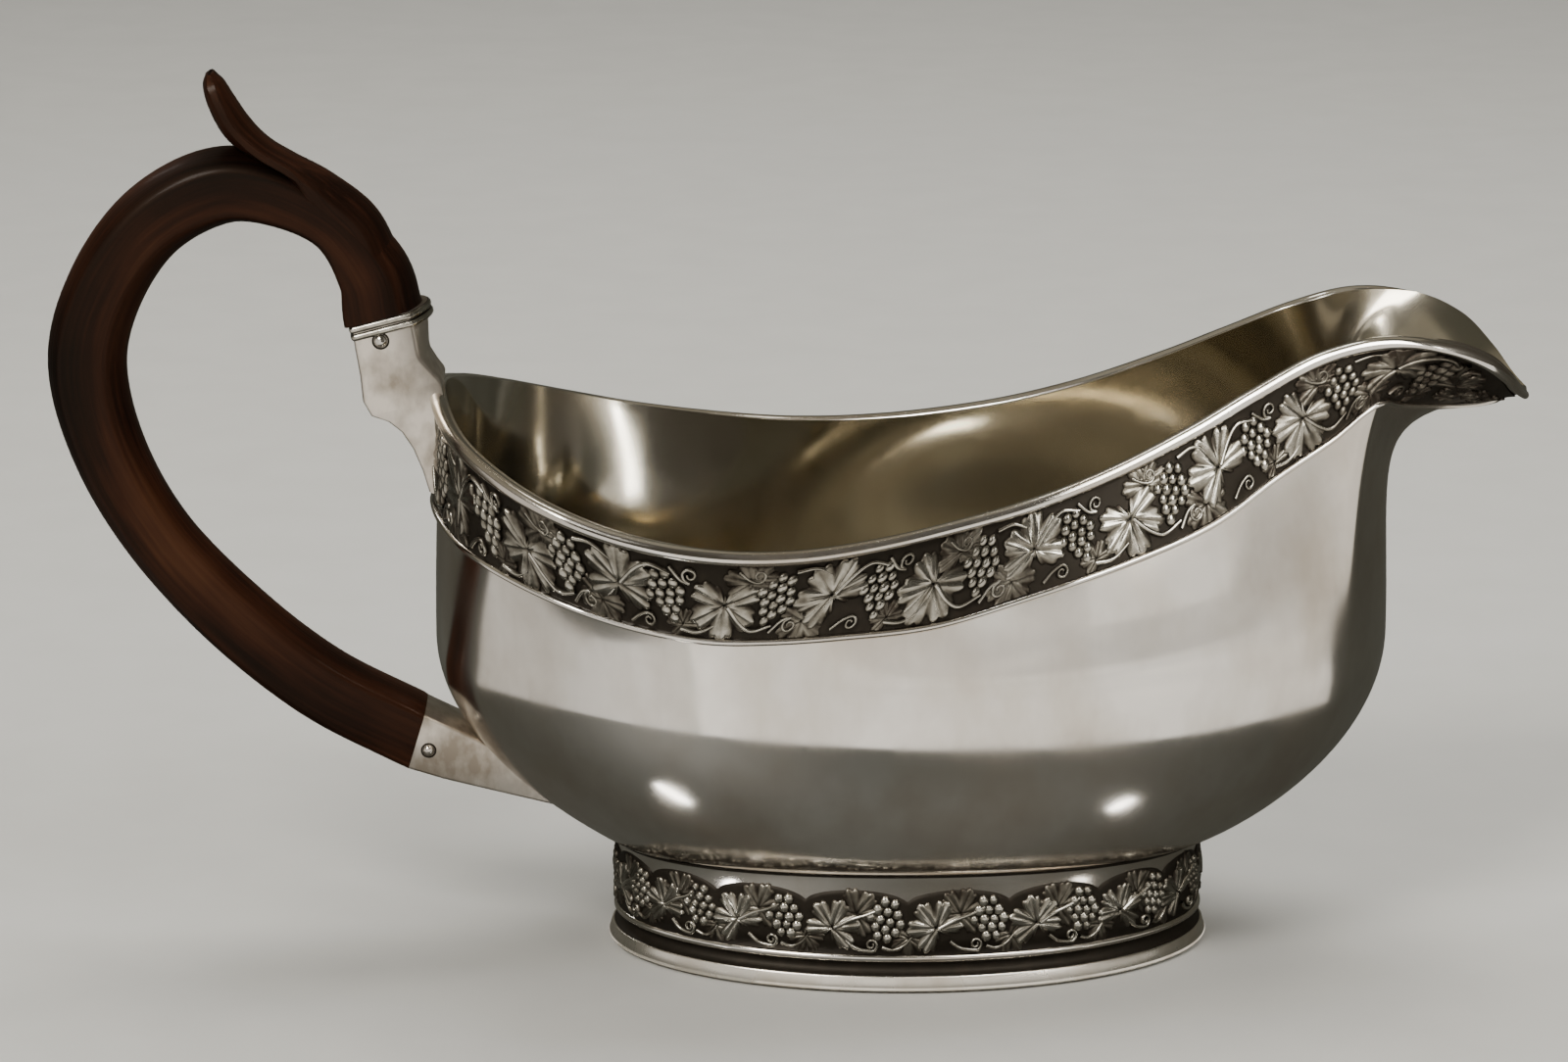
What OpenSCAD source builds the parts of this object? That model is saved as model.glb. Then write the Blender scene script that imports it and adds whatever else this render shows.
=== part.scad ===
// Oval silver sauce boat with cast grapevine bands round the rim and the foot, and a
// scrolled wooden handle with a thumb spur, pinned into two silver sockets.
// The origin is the centre of the foot on the resting plane, +X points to the spout, +Z up.

/* [Bowl] */
// Half length of the belly at its fullest level
belly_half_length = 74.5; // [72:0.5:77]
// Half width of the belly at its fullest level
belly_half_width = 40.5; // [38:0.5:43]
// How far the widest place of the belly lies behind the foot's centre
belly_shift = 6; // [2:0.5:10]
// How far the bowl's ends lie ahead of the foot's
bowl_ahead = 0.4; // [0:0.1:1]
// Height of the fullest level above the table
belly_height = 50; // [48:0.5:53]
// Height of the lowest point of the bowl above the table
bottom_height = 9.5; // [8:0.5:12]
// Thickness of the silver
wall = 1; // [0.9:0.1:1.4]
// How strongly the front wall sweeps forward into the lip, compared with a straight wall
lip_sweep = 3.8; // [3.4:0.1:4.2]

/* [Rim] */
// Depth of the plain upper wire
wire_depth = 1.8; // [1.4:0.1:2.2]
// How far the upper wire stands out from the wall
wire_relief = 1.6; // [1.2:0.1:2]
// Depth of the half-round lower wire
lower_wire_depth = 1.3; // [1:0.1:1.6]
// How far the lower wire stands out from the wall
lower_wire_relief = 1.1; // [0.8:0.1:1.4]
// How far the vine band stands out from the wall
vine_relief = 1.3; // [1:0.1:1.5]

/* [Foot] */
// Half length of the foot
foot_half_length = 47.5; // [45:0.5:49]
// Half width of the foot
foot_half_width = 29.5; // [28:0.5:31]
// Height of the foot up to the bowl
foot_height = 17.5; // [16:0.5:19]
// How far the foot's top dips at the ends and rises at the sides
joint_dip = 0.9; // [0:0.1:1.4]
// Height of the plain plinth
plinth_height = 2.3; // [1.8:0.1:2.8]
// Scallops round the top of the foot's vine band
scallops = 18; // [12:2:22]
// Height of each scallop
scallop_rise = 2.2; // [1:0.1:3]

/* [Handle] */
// Width of the handle across the boat
handle_width = 12.5; // [11:0.5:14]
// Thickness of the handle's scroll
handle_thick = 11.5; // [10.8:0.1:12.2]
// Length of the tenon in each socket
tenon_length = 6; // [5:0.5:7]
// Thickness of the sockets' silver
socket_wall = 1.1; // [0.8:0.1:1.4]
// Diameter of the pins
pin_d = 1.6; // [1.2:0.1:1.8]

/* [Hidden] */

SILVER = "silver";
OXIDISED = "dimgray";
WOOD = "saddlebrown";

// ---- the rim line --------------------------------------------------------------------
// Stations from the tip of the lip to the middle of the back: x, y and height of the rim,
// and the height of the vine band's lower edge.
RIM = [
    [96, 0, 87.3, 86.7], [94.4, 4.6, 88.9, 86.8], [91.9, 9.6, 92.2, 87.6], [87.6, 14.3, 96.3, 88.5],
    [80.5, 16.9, 99.3, 89.2], [71, 17, 100.1, 88.2], [61, 17, 97.6, 83.6], [51, 19.8, 92.9, 78.6],
    [41, 23.5, 87.9, 73], [29, 27.4, 82.7, 68.4], [17, 30.8, 78.8, 64.5], [5, 33.9, 76.2, 60.9],
    [-7, 37.3, 74.4, 59.7], [-19, 40.4, 73.6, 59.1], [-31, 42, 74.2, 59.1], [-43, 40.8, 76.1, 60.4],
    [-54, 36.8, 79.2, 62.5], [-63, 29.5, 82.8, 65.1], [-70, 18, 86.6, 67.9], [-73, 0, 89.8, 71]
];
STEPS = 3;                          // samples between two stations
SPANS = len(RIM) - 1;
LOOP = 2 * SPANS * STEPS;           // samples right round the rim
REAR = LOOP / 2;                    // the sample at the middle of the back

function mix(a, b, t) = a + (b - a) * t;
function unit(v) = v / norm(v);
function ease(t) = let (c = max(0, min(1, t))) c * c * (3 - 2 * c);
function mod(a, n) = (a % n + n) % n;
function spline(a, b, c, d, t) =
    0.5 * (2 * b + (c - a) * t + (2 * a - 5 * b + 4 * c - d) * t * t + (3 * b - a - 3 * c + d) * t * t * t);

function mirrored(p) = [p[0], -p[1], p[2], p[3]];
function station(k) = let (m = mod(k, 2 * SPANS)) m <= SPANS ? RIM[m] : mirrored(RIM[2 * SPANS - m]);
function rim_at(i) = let (k = floor(i / STEPS), t = i / STEPS - k)
    spline(station(k - 1), station(k), station(k + 1), station(k + 2), t);
RIM_LINE = [for (i = [0:LOOP - 1]) rim_at(i)];

// ---- the bowl's outer surface ----------------------------------------------------------
// A point of an ellipse in the same direction, seen from above, as the point x, y.
function ellipse_towards(x, y, a, b) = let (q = atan2(y / b, x / a)) [a * cos(q), b * sin(q), q];
function belly_at(r) = let (e = ellipse_towards(r[0], r[1], belly_half_length, belly_half_width))
    [e[0] + bowl_ahead - belly_shift * pow(sin(e[2]), 2), e[1], belly_height];

JOIN_HALF_LENGTH = foot_half_length - 0.7;
JOIN_HALF_WIDTH = foot_half_width - 1.9;
function joint_height(q) = foot_height - joint_dip * cos(2 * q);
function join_at(r) = let (e = ellipse_towards(r[0], r[1], JOIN_HALF_LENGTH, JOIN_HALF_WIDTH))
    [e[0], e[1], joint_height(e[2])];

// The wall above the belly, u = 0 at the belly and u = 1 at the rim. Near the lip it rises
// straight and then sweeps forward, elsewhere it runs evenly up to the rim.
NECK_RISE = 90;
LIP_RISE = 8;
LIP_START = 50;                     // x where the wall begins to turn into the lip
LIP_LENGTH = 40;                    // and over what length it does so
function upper_wall(r, u) = let (
        e = belly_at(r), top = [r[0], r[1], r[2]], rise = r[2] - belly_height, out = top - e,
        lip = ease((r[0] - LIP_START) / LIP_LENGTH), sweep = mix(1, lip_sweep, lip),
        t0 = [0, 0, mix(rise, NECK_RISE, lip)],
        t1 = [sweep * out[0], sweep * out[1], mix(rise, LIP_RISE, lip)],
        u2 = u * u, u3 = u2 * u)
    e * (2 * u3 - 3 * u2 + 1) + t0 * (u3 - 2 * u2 + u) + top * (3 * u2 - 2 * u3) + t1 * (u3 - u2);
// The wall below the belly, w = 1 at the belly and w = 0 where the foot joins. It is fuller in
// front than behind.
FRONT_CURVE = 0.8;
REAR_CURVE = 0.97;
function lower_wall(r, w) = let (
        a = join_at(r), b = belly_at(r),
        curve = mix(REAR_CURVE, FRONT_CURVE, (1 + b[0] / belly_half_length) / 2),
        g = pow(1 - pow(1 - w, 2), curve))
    [mix(a[0], b[0], g), mix(a[1], b[1], g), mix(a[2], belly_height, w)];
function underside(r, k) = let (a = join_at(r))
    [a[0] * k, a[1] * k, mix(bottom_height, a[2], k * k)];

// u at which the upper wall is a given height, and u at a given distance down from the rim
function u_at_height(r, z, lo = 0, hi = 1, n = 14) = n == 0 ? lo : let (m = (lo + hi) / 2)
    upper_wall(r, m)[2] < z ? u_at_height(r, z, m, hi, n - 1) : u_at_height(r, z, lo, m, n - 1);
function rim_gap(r, u) = norm(upper_wall(r, 1) - upper_wall(r, u));
function u_below_rim(r, d, lo = 0, hi = 1, n = 14) = n == 0 ? hi : let (m = (lo + hi) / 2)
    rim_gap(r, m) > d ? u_below_rim(r, d, m, hi, n - 1) : u_below_rim(r, d, lo, m, n - 1);

// Rows of the wall from the rim down to the foot
VINE_ROWS = [0, 0.25, 0.5, 0.75, 1];
WALL_ROWS = [1, 0.88, 0.74, 0.58, 0.36, 0];
LOW_W = [0.84, 0.68, 0.53, 0.39, 0.26, 0.15, 0.06, 0];
UNDER_K = [0.8, 0.55, 0.28];
function wall_column(r) = let (
        uw = u_below_rim(r, wire_depth), low = u_at_height(r, r[3]),
        top = mix(low, 1, lower_wire_depth / rim_gap(r, low)))
    concat([upper_wall(r, 1)],
           [for (f = VINE_ROWS) upper_wall(r, mix(uw, top, f))],
           [for (f = WALL_ROWS) upper_wall(r, low * f)],
           [for (w = LOW_W) lower_wall(r, w)],
           [for (k = UNDER_K) underside(r, k)]);
GRID = [for (r = RIM_LINE) wall_column(r)];
ROWS = len(GRID[0]);
VINE_TOP = 1;                       // first row of the vine band
VINE_LOW = VINE_TOP + len(VINE_ROWS) - 1;
BELLY_ROW = VINE_LOW + len(WALL_ROWS);
JOIN_ROW = BELLY_ROW + len(LOW_W);

function cell(i, j) = GRID[mod(i, LOOP)][max(0, min(ROWS - 1, j))];
function normal_at(i, j) = unit(cross(cell(i, j + 1) - cell(i, j - 1), cell(i + 1, j) - cell(i - 1, j)));
NORMALS = [for (i = [0:LOOP - 1]) [for (j = [0:ROWS - 1]) normal_at(i, j)]];
function skin(i, j, off) = cell(i, j) + off * NORMALS[mod(i, LOOP)][j];
function rim_down(i) = unit(cell(i, 1) - cell(i, 0));

// ---- lofting ---------------------------------------------------------------------------
// rings is a list of closed sections with equal numbers of points, each listed clockwise as
// seen looking along the path.
module loft(rings, closed = false) {
    k = len(rings[0]);
    n = len(rings);
    last = closed ? n - 1 : n - 2;
    sides = [for (i = [0:last], j = [0:k - 1])
        let (a = i * k, b = ((i + 1) % n) * k, m = (j + 1) % k)
        each [[a + j, b + j, b + m], [a + j, b + m, a + m]]];
    caps = closed ? [] : [[for (j = [0:k - 1]) j], [for (j = [k - 1:-1:0]) (n - 1) * k + j]];
    polyhedron(points = [for (r = rings) each r], faces = concat(sides, caps), convexity = 6);
}

// ---- bowl, wires and rim band ------------------------------------------------------------
module bowl_shell() {
    outer = [for (i = [0:LOOP - 1], j = [0:ROWS - 1]) skin(i, j, 0)];
    inner = [for (i = [0:LOOP - 1], j = [0:ROWS - 1]) skin(i, j, -wall)];
    half = LOOP * ROWS;
    out_mid = 2 * half;
    in_mid = out_mid + 1;
    walls = [for (i = [0:LOOP - 1], j = [0:ROWS - 2])
        let (a = i * ROWS + j, b = ((i + 1) % LOOP) * ROWS + j)
        each [[a, b, b + 1], [a, b + 1, a + 1],
              [half + a, half + b + 1, half + b], [half + a, half + a + 1, half + b + 1]]];
    rim = [for (i = [0:LOOP - 1]) let (a = i * ROWS, b = ((i + 1) % LOOP) * ROWS)
        each [[b, a, half + a], [b, half + a, half + b]]];
    middle = [for (i = [0:LOOP - 1]) let (a = (i + 1) * ROWS - 1, b = ((i + 1) % LOOP + 1) * ROWS - 1)
        each [[a, b, out_mid], [half + b, half + a, in_mid]]];
    polyhedron(
        points = concat(outer, inner, [[0, 0, bottom_height], [0, 0, bottom_height + wall]]),
        faces = concat(walls, rim, middle), convexity = 8);
}
module bowl() { color(SILVER) bowl_shell(); }

// The wires' sections as shares of their depth, downwards, and of their relief, outwards
WIRE_SECTION = [[-0.3, 0], [-0.3, 0.55], [0, 0.85], [0.5, 1], [0.85, 0.75], [1, 0.4], [1, 0]];
LOWER_WIRE_SECTION = [[0, 0], [0, 0.6], [0.3, 1], [0.7, 1], [1, 0.6], [1, 0]];
module rim_wire_loft() {
    loft([for (i = [0:LOOP - 1])
        [for (s = WIRE_SECTION) cell(i, 0) + rim_down(i) * s[0] * wire_depth
                                + NORMALS[i][0] * s[1] * wire_relief]], closed = true);
}
module rim_wire() { color(SILVER) rim_wire_loft(); }

// One side's strip of vine: its face swells between the two wires.
VINE_SWELL = [0.55, 0.9, 1, 0.9, 0.55];
module vine_band(first) {
    last_row = len(VINE_ROWS) - 1;
    color(OXIDISED) loft([for (i = [first:first + REAR]) concat(
        [for (j = [0:last_row]) skin(i, VINE_TOP + j, VINE_SWELL[j] * vine_relief)],
        [for (j = [last_row:-1:0]) skin(i, VINE_TOP + j, 0)])]);
}
module rim_vine_band_left() { vine_band(0); }
module rim_vine_band_right() { vine_band(REAR); }

module rim_lower_wire() {
    low = VINE_LOW;
    color(SILVER) loft([for (i = [0:LOOP - 1]) let (step = skin(i, low + 1, 0) - skin(i, low, 0))
        [for (s = LOWER_WIRE_SECTION)
            skin(i, low, 0) + step * s[0] + NORMALS[i][low] * s[1] * lower_wire_relief]],
        closed = true);
}

// ---- foot --------------------------------------------------------------------------------
SAMPLES_PER_SCALLOP = 6;
FOOT_N = scallops * SAMPLES_PER_SCALLOP;
FOOT_ANGLES = [for (i = [0:FOOT_N - 1]) 360 * i / FOOT_N];
SCALLOP_TURN = -1.8;                // degrees from the foot's long axis to the top of a scallop
VALLEY_DROP = 3.8;                  // how far the valleys between scallops lie below the foot's top
// The section at the angle q of a ring whose corners are [half length, half width, height]
function around(q, corners) = [for (c = corners) [c[0] * cos(q), c[1] * sin(q), c[2]]];
// A corner given as an inset from the foot's outer size
function inset(d, z) = [foot_half_length - d, foot_half_width - d, z];
EMBED = 0.02;                       // how far touching surfaces are kept apart, so that they don't merge
// A corner on the underside of the bowl, just inside the joint
TOP_SHARE = 0.965;
function under_bowl(q) = [JOIN_HALF_LENGTH * TOP_SHARE, JOIN_HALF_WIDTH * TOP_SHARE,
                          mix(bottom_height, joint_height(q), TOP_SHARE * TOP_SHARE) - EMBED];

FOOT_WALL = 2.6;
MOULDING_TOP = plinth_height + 3.3;
NECK_DROP = 3;                      // how far the collar's narrowest level lies below its top
// Sections as insets from the foot's outer size and heights above the plinth
MOULDING_SECTION = [[1.9, 3.3], [1.1, 3.2], [0.8, 2.8], [0.9, 2.4], [1.3, 2.1]];
HOLLOW_SECTION = [[1.9, 3.3], [1.3, 2.1], [0.9, 0.9], [0.3, 0], [FOOT_WALL, 0], [FOOT_WALL + 0.5, 3.3]];
function above_plinth(section) = [for (c = section) inset(c[0], plinth_height + c[1])];
module foot_plinth() {
    color(SILVER) linear_extrude(plinth_height) difference() {
        polygon([for (q = FOOT_ANGLES) [foot_half_length * cos(q), foot_half_width * sin(q)]]);
        polygon([for (q = FOOT_ANGLES)
            [(foot_half_length - FOOT_WALL) * cos(q), (foot_half_width - FOOT_WALL) * sin(q)]]);
    }
}
module foot_moulding() {
    color(SILVER) loft([for (q = FOOT_ANGLES) around(q, above_plinth(MOULDING_SECTION))], closed = true);
}
module foot_collar() {
    color(SILVER) loft([for (q = FOOT_ANGLES) let (top = joint_height(q)) around(q, concat(
            [[JOIN_HALF_LENGTH, JOIN_HALF_WIDTH, top - EMBED], inset(1.7, top - NECK_DROP)],
            above_plinth(HOLLOW_SECTION),
            [inset(FOOT_WALL + 0.3, top - NECK_DROP), under_bowl(q)]))],
        closed = true);
}
module foot_vine_band() {
    valley = foot_height - VALLEY_DROP;
    low = MOULDING_TOP + 0.1;
    color(OXIDISED) loft([for (q = FOOT_ANGLES) let (
            arch = sqrt(abs(cos((q - SCALLOP_TURN) * scallops / 2))), top = valley + scallop_rise * arch)
        around(q, [inset(1.2, top), inset(0.6, top - 1.5), inset(0.4, MOULDING_TOP + 3),
            inset(0.7, low), inset(1.9, low), inset(1.7, top)])],
        closed = true);
}

// ---- handle --------------------------------------------------------------------------------
// The scroll's centre line in x and z, from the upper socket over the top and down to the lower
// one, with the share of the thickness and the crowns of its outer and inner faces.
SCROLL = [
    [-81.4, 101.6, 1.08, 2.6, 0.4], [-82.9, 108.2, 0.97, 2.6, 0.5], [-88.8, 116, 0.78, 2.5, 0.8],
    [-98.9, 121, 0.94, 2.4, 1.2], [-107.5, 121, 1.03, 2.4, 1.8], [-117.1, 115.3, 1.03, 2.4, 2.6],
    [-124.1, 105.1, 1.04, 2.4, 3.3], [-127.1, 93.5, 1.06, 2.4, 3.4], [-124.2, 79.7, 1, 2.2, 3.2],
    [-116.9, 65.9, 0.95, 2, 2.8], [-105.5, 52.9, 0.98, 1.6, 2.2], [-92.3, 42, 0.96, 1, 1.6],
    [-77.2, 33.9, 0.92, 0.4, 1.2]
];
UPPER_DIR = [-0.25, 0, 0.968];      // the handle's direction where it leaves the upper socket
LOWER_DIR = [0.956, 0, -0.292];     // and where it enters the lower one
// The spur's centre line in x and z, its thickness and its width
SPUR = [
    [-80.2, 107.8, 5, 11.4], [-83.8, 116.1, 4.5, 12.2], [-89.8, 121.5, 3.8, 12.2], [-95.4, 124.7, 3.5, 12],
    [-99.6, 127.2, 3.9, 11.6], [-102.9, 130.2, 4.7, 11], [-105.1, 133.8, 4.4, 10.2],
    [-106.5, 137.1, 3.4, 8.4], [-107, 138.9, 1.4, 5]
];
SCROLL_STEPS = 3;                   // sections between two rows of the scroll
SPUR_STEPS = 2;                     // and between two rows of the spur
SPUR_CROWN = 0.4;                   // how rounded the spur's faces are, as a share of its thickness
ACROSS = [-1, -0.55, 0, 0.55, 1];   // places across a crowned face

function along(list, s) = let (k = min(floor(s), len(list) - 2), t = s - k, n = len(list) - 1)
    spline(k == 0 ? 2 * list[0] - list[1] : list[k - 1], list[k], list[k + 1],
           k + 2 > n ? 2 * list[n] - list[n - 1] : list[k + 2], t);
// A closed section between the points a and b, of width w, whose two faces are crowned
function crowned(a, b, w, crown_a, crown_b) = let (v = unit(b - a)) concat(
    [for (s = ACROSS) a + v * crown_a * s * s + [0, s * w / 2, 0]],
    [for (s = ACROSS) b - v * crown_b * s * s - [0, s * w / 2, 0]]);
// The same about a centre, square to the direction dir, with the outer face first
function section(c, dir, t, w, outer, inner) = let (inwards = [-dir[2], 0, dir[0]])
    crowned(c - inwards * t / 2, c + inwards * t / 2, w, outer, inner);
function heading(list, s) = let (
        a = along(list, max(0, s - 0.05)), b = along(list, min(len(list) - 1, s + 0.05)))
    unit([b[0] - a[0], 0, b[1] - a[1]]);
function scroll_ring(s) = let (
        p = along(SCROLL, s),
        dir = s == 0 ? UPPER_DIR : s == len(SCROLL) - 1 ? LOWER_DIR : heading(SCROLL, s))
    section([p[0], 0, p[1]], dir, handle_thick * p[2], handle_width, p[3], p[4]);
function spur_ring(s) = let (p = along(SPUR, s))
    section([p[0], 0, p[1]], heading(SPUR, s), p[2], p[3], p[2] * SPUR_CROWN, p[2] * SPUR_CROWN);

UPPER_JOINT = [-80.5, 0, 101.8];    // the middle of the upper socket's mouth
LOWER_JOINT = [-77.2, 0, 33.9];     // and of the lower one's
UPPER_THICK = 12.2;                 // thickness of the upper socket at its mouth
LOWER_THICK = handle_thick * 0.92;
SOCKET_WIDTH = handle_width - 0.7;
TENON_WIDTH = SOCKET_WIDTH - 2 * socket_wall;
// A tenon's section at the share f of its length from the joint, along dir
function tenon_section(joint, dir, f, thick, taper, outer, inner) =
    section(joint + dir * f * tenon_length, dir, thick - 2 * socket_wall - taper * abs(f),
            TENON_WIDTH, outer, inner);
UPPER_TENON = [for (f = [-1, 0]) tenon_section(UPPER_JOINT, UPPER_DIR, f, UPPER_THICK - 0.8, 2.8, 1.4, 0.6)];
LOWER_TENON = [for (f = [0, 1]) tenon_section(LOWER_JOINT, LOWER_DIR, f, LOWER_THICK, 2.2, 1.2, 1.2)];

UPPER_PIN = [-81.6, 98.1];
LOWER_PIN = [-75.4, 32.2];
PIN_FACETS = 32;
module pin_bore(place) {
    translate([place[0], 0, place[1]])
        rotate([90, 0, 0])
            cylinder(d = pin_d, h = 2 * handle_width, center = true, $fn = PIN_FACETS);
}
// Half the section of a pin's domed end, as shares of its radius
DOME = [[0, 0], [1, 0], [0.9, 0.35], [0.55, 0.6], [0, 0.7]];
module pin(place, dome_radius) {
    half = SOCKET_WIDTH / 2 + 0.05;
    color(SILVER) translate([place[0], 0, place[1]]) rotate([90, 0, 0]) {
        cylinder(d = pin_d, h = 2 * half, center = true, $fn = PIN_FACETS);
        for (side = [-1, 1])
            translate([0, 0, side * half])
                rotate([side < 0 ? 180 : 0, 0, 0])
                    rotate_extrude($fn = PIN_FACETS)
                        polygon(DOME * dome_radius);
    }
}
module upper_pin() { pin(UPPER_PIN, 1.05); }
module lower_pin() { pin(LOWER_PIN, 0.95); }

module handle() {
    n = len(SCROLL) - 1;
    color(WOOD) difference() {
        union() {
            loft(concat(UPPER_TENON,
                        [for (k = [0:n * SCROLL_STEPS]) scroll_ring(k / SCROLL_STEPS)], LOWER_TENON));
            loft([for (k = [0:(len(SPUR) - 1) * SPUR_STEPS]) spur_ring(k / SPUR_STEPS)]);
        }
        pin_bore(UPPER_PIN);
        pin_bore(LOWER_PIN);
    }
}

// ---- sockets ---------------------------------------------------------------------------------
// The part of the boat behind the handle's sockets, grown by off, between two rows of the wall
module rear_core(top_row, low_row, off) {
    reach = 12;                     // samples of the rim on either side of the middle of the back
    inside_x = -25;                 // how far into the boat the core reaches
    cols = 2 * reach + 1;
    rows = low_row - top_row + 1;
    patch = [for (i = [REAR - reach:REAR + reach], j = [top_row:low_row]) skin(i, j, off)];
    axis = [for (j = [top_row:low_row]) [inside_x, 0, skin(REAR, j, off)[2]]];
    base = cols * rows;
    skin_faces = [for (i = [0:cols - 2], j = [0:rows - 2]) let (a = i * rows + j, b = a + rows)
        each [[a, b, b + 1], [a, b + 1, a + 1]]];
    ends = [for (j = [0:rows - 2]) let (a = j, b = (cols - 1) * rows + j, c = base + j)
        each [[c, a, a + 1], [c, a + 1, c + 1], [b, c, c + 1], [b, c + 1, b + 1]]];
    lids = [for (i = [0:cols - 2]) let (a = i * rows, b = a + rows)
        each [[base, b, a], [base + rows - 1, a + rows - 1, b + rows - 1]]];
    polyhedron(points = concat(patch, axis), faces = concat(skin_faces, ends, lids), convexity = 4);
}

// A block between two chains of points in x and z, whose faces along the chains are crowned
module chain_block(near, far, near_crown) {
    loft([for (k = [0:len(near) - 1])
        crowned([near[k][0], 0, near[k][1]], [far[k][0], 0, far[k][1]],
                SOCKET_WIDTH, near_crown, far[k][2])]);
}

module upper_socket() {
    half = [UPPER_DIR[2], 0, -UPPER_DIR[0]] * UPPER_THICK / 2;
    hand_top = UPPER_JOINT - half;
    bowl_top = UPPER_JOINT + half;
    hand_side = [[hand_top[0], hand_top[2]], [-85.1, 92], [-84.8, 88.3], [-83.6, 86.1], [-81, 85.2],
                 [-79, 83.6], [-77.3, 81], [-75.9, 77.6], [-74.9, 74.2]];
    bowl_side = [[bowl_top[0], bowl_top[2], 2.6], [-74.3, 96, 1.6], [-72.2, 92, 0.6], [-70.6, 89, 0.2],
                 [-70.2, 86.5, 0], [-70.2, 83.5, 0], [-70.5, 80, 0], [-71, 76.5, 0], [-72, 73.2, 0]];
    color(SILVER) difference() {
        chain_block(hand_side, bowl_side, 0.4);
        rear_core(0, BELLY_ROW, vine_relief);
        rim_wire_loft();
        loft(UPPER_TENON);
        pin_bore(UPPER_PIN);
    }
}
// Two reeds round the socket's mouth, one above the other: distance below the mouth and rise
REEDS = [[0, 0], [0.2, 0.45], [0.7, 0.5], [0.95, 0.12], [1.25, 0.12], [1.5, 0.55], [2, 0.6], [2.4, 0]];
REED_CROWNS = [2.6, 0.4];
module upper_socket_reeds() {
    gap = 0.05;
    past = 4;                       // how far the hole through the ring is drawn past it
    color(SILVER) difference() {
        loft([for (k = [len(REEDS) - 1:-1:0]) let (h = REEDS[k])
            section(UPPER_JOINT - UPPER_DIR * (h[0] + gap), UPPER_DIR, UPPER_THICK + 2 * h[1],
                    SOCKET_WIDTH + 2 * h[1], REED_CROWNS[0], REED_CROWNS[1])]);
        loft([for (k = [-1, 1])
            section(UPPER_JOINT + UPPER_DIR * past * k, UPPER_DIR, UPPER_THICK - gap, SOCKET_WIDTH - gap,
                    REED_CROWNS[0], REED_CROWNS[1])]);
    }
}
module lower_socket() {
    half = [LOWER_DIR[2], 0, -LOWER_DIR[0]] * LOWER_THICK / 2;
    joint_low = LOWER_JOINT + half;
    joint_top = LOWER_JOINT - half;
    under_side = [[joint_low[0], joint_low[2]], [-73.3, 27.1], [-64.4, 24.8], [-54, 22.2], [-46, 20.2]];
    upper_side = [[joint_top[0], joint_top[2], 1.2], [-70, 36, 1], [-62, 31.6, 0.8], [-52, 26, 0.4],
                  [-44, 22, 0.2]];
    color(SILVER) difference() {
        chain_block(under_side, upper_side, 0.4);
        rear_core(BELLY_ROW, JOIN_ROW + 1, EMBED);
        loft(LOWER_TENON);
        pin_bore(LOWER_PIN);
    }
}

bowl();
rim_wire();
rim_vine_band_left();
rim_vine_band_right();
rim_lower_wire();
foot_collar();
foot_vine_band();
foot_moulding();
foot_plinth();
upper_socket();
upper_socket_reeds();
upper_pin();
lower_socket();
lower_pin();
handle();
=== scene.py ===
"""Looks of the oval silver sauce boat: smooth silver, modelled vine relief and a carved wooden handle.

Lengths in the tables and functions below are millimetres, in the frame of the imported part: the origin is
the centre of the foot on the table, +X points to the pouring lip and +Z up. Pieces are stored in metres.
"""
import math

import bmesh
import bpy
import numpy as np
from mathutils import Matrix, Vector


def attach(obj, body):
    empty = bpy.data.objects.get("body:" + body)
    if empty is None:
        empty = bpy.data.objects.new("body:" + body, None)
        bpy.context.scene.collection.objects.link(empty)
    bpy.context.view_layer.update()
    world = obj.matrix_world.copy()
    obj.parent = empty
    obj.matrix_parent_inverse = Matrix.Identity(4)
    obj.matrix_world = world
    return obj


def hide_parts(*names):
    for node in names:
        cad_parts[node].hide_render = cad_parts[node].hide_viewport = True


MM = 0.001

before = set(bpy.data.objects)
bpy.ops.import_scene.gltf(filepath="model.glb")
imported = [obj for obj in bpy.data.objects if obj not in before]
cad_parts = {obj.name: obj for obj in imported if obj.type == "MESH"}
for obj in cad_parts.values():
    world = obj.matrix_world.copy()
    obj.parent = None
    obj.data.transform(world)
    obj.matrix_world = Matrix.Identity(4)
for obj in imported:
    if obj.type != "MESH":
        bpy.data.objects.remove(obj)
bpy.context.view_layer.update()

# ---- the dimensions that the part was designed with --------------------
BELLY_HALF_LENGTH = 74.5
BELLY_HALF_WIDTH = 40.5
BELLY_SHIFT = 6
BOWL_AHEAD = 0.4
BELLY_HEIGHT = 50
BOTTOM_HEIGHT = 9.5
WALL = 1
LIP_START = 50  # the wall turns outwards into the lip over this stretch of x
LIP_TURN = 40
LIP_SWEEP = 3.8
NECK_RISE = 90
LIP_RISE = 8
FRONT_CURVE = 0.8
REAR_CURVE = 0.97
WIRE_DEPTH = 1.8
LOWER_WIRE_DEPTH = 1.3
LOWER_WIRE_RELIEF = 1.1
FOOT_HALF_LENGTH = 47.5
FOOT_HALF_WIDTH = 29.5
FOOT_HEIGHT = 17.5
JOIN_HALF_LENGTH = FOOT_HALF_LENGTH - 0.7
JOIN_HALF_WIDTH = FOOT_HALF_WIDTH - 1.9
JOINT_DIP = 0.9
PLINTH_HEIGHT = 2.3
FOOT_WALL = 2.6
SCALLOPS = 18
SCALLOP_RISE = 2.2
SCALLOP_TURN = -1.8
HANDLE_WIDTH = 12.5
HANDLE_THICK = 11.5
SOCKET_WIDTH = HANDLE_WIDTH - 0.7

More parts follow.
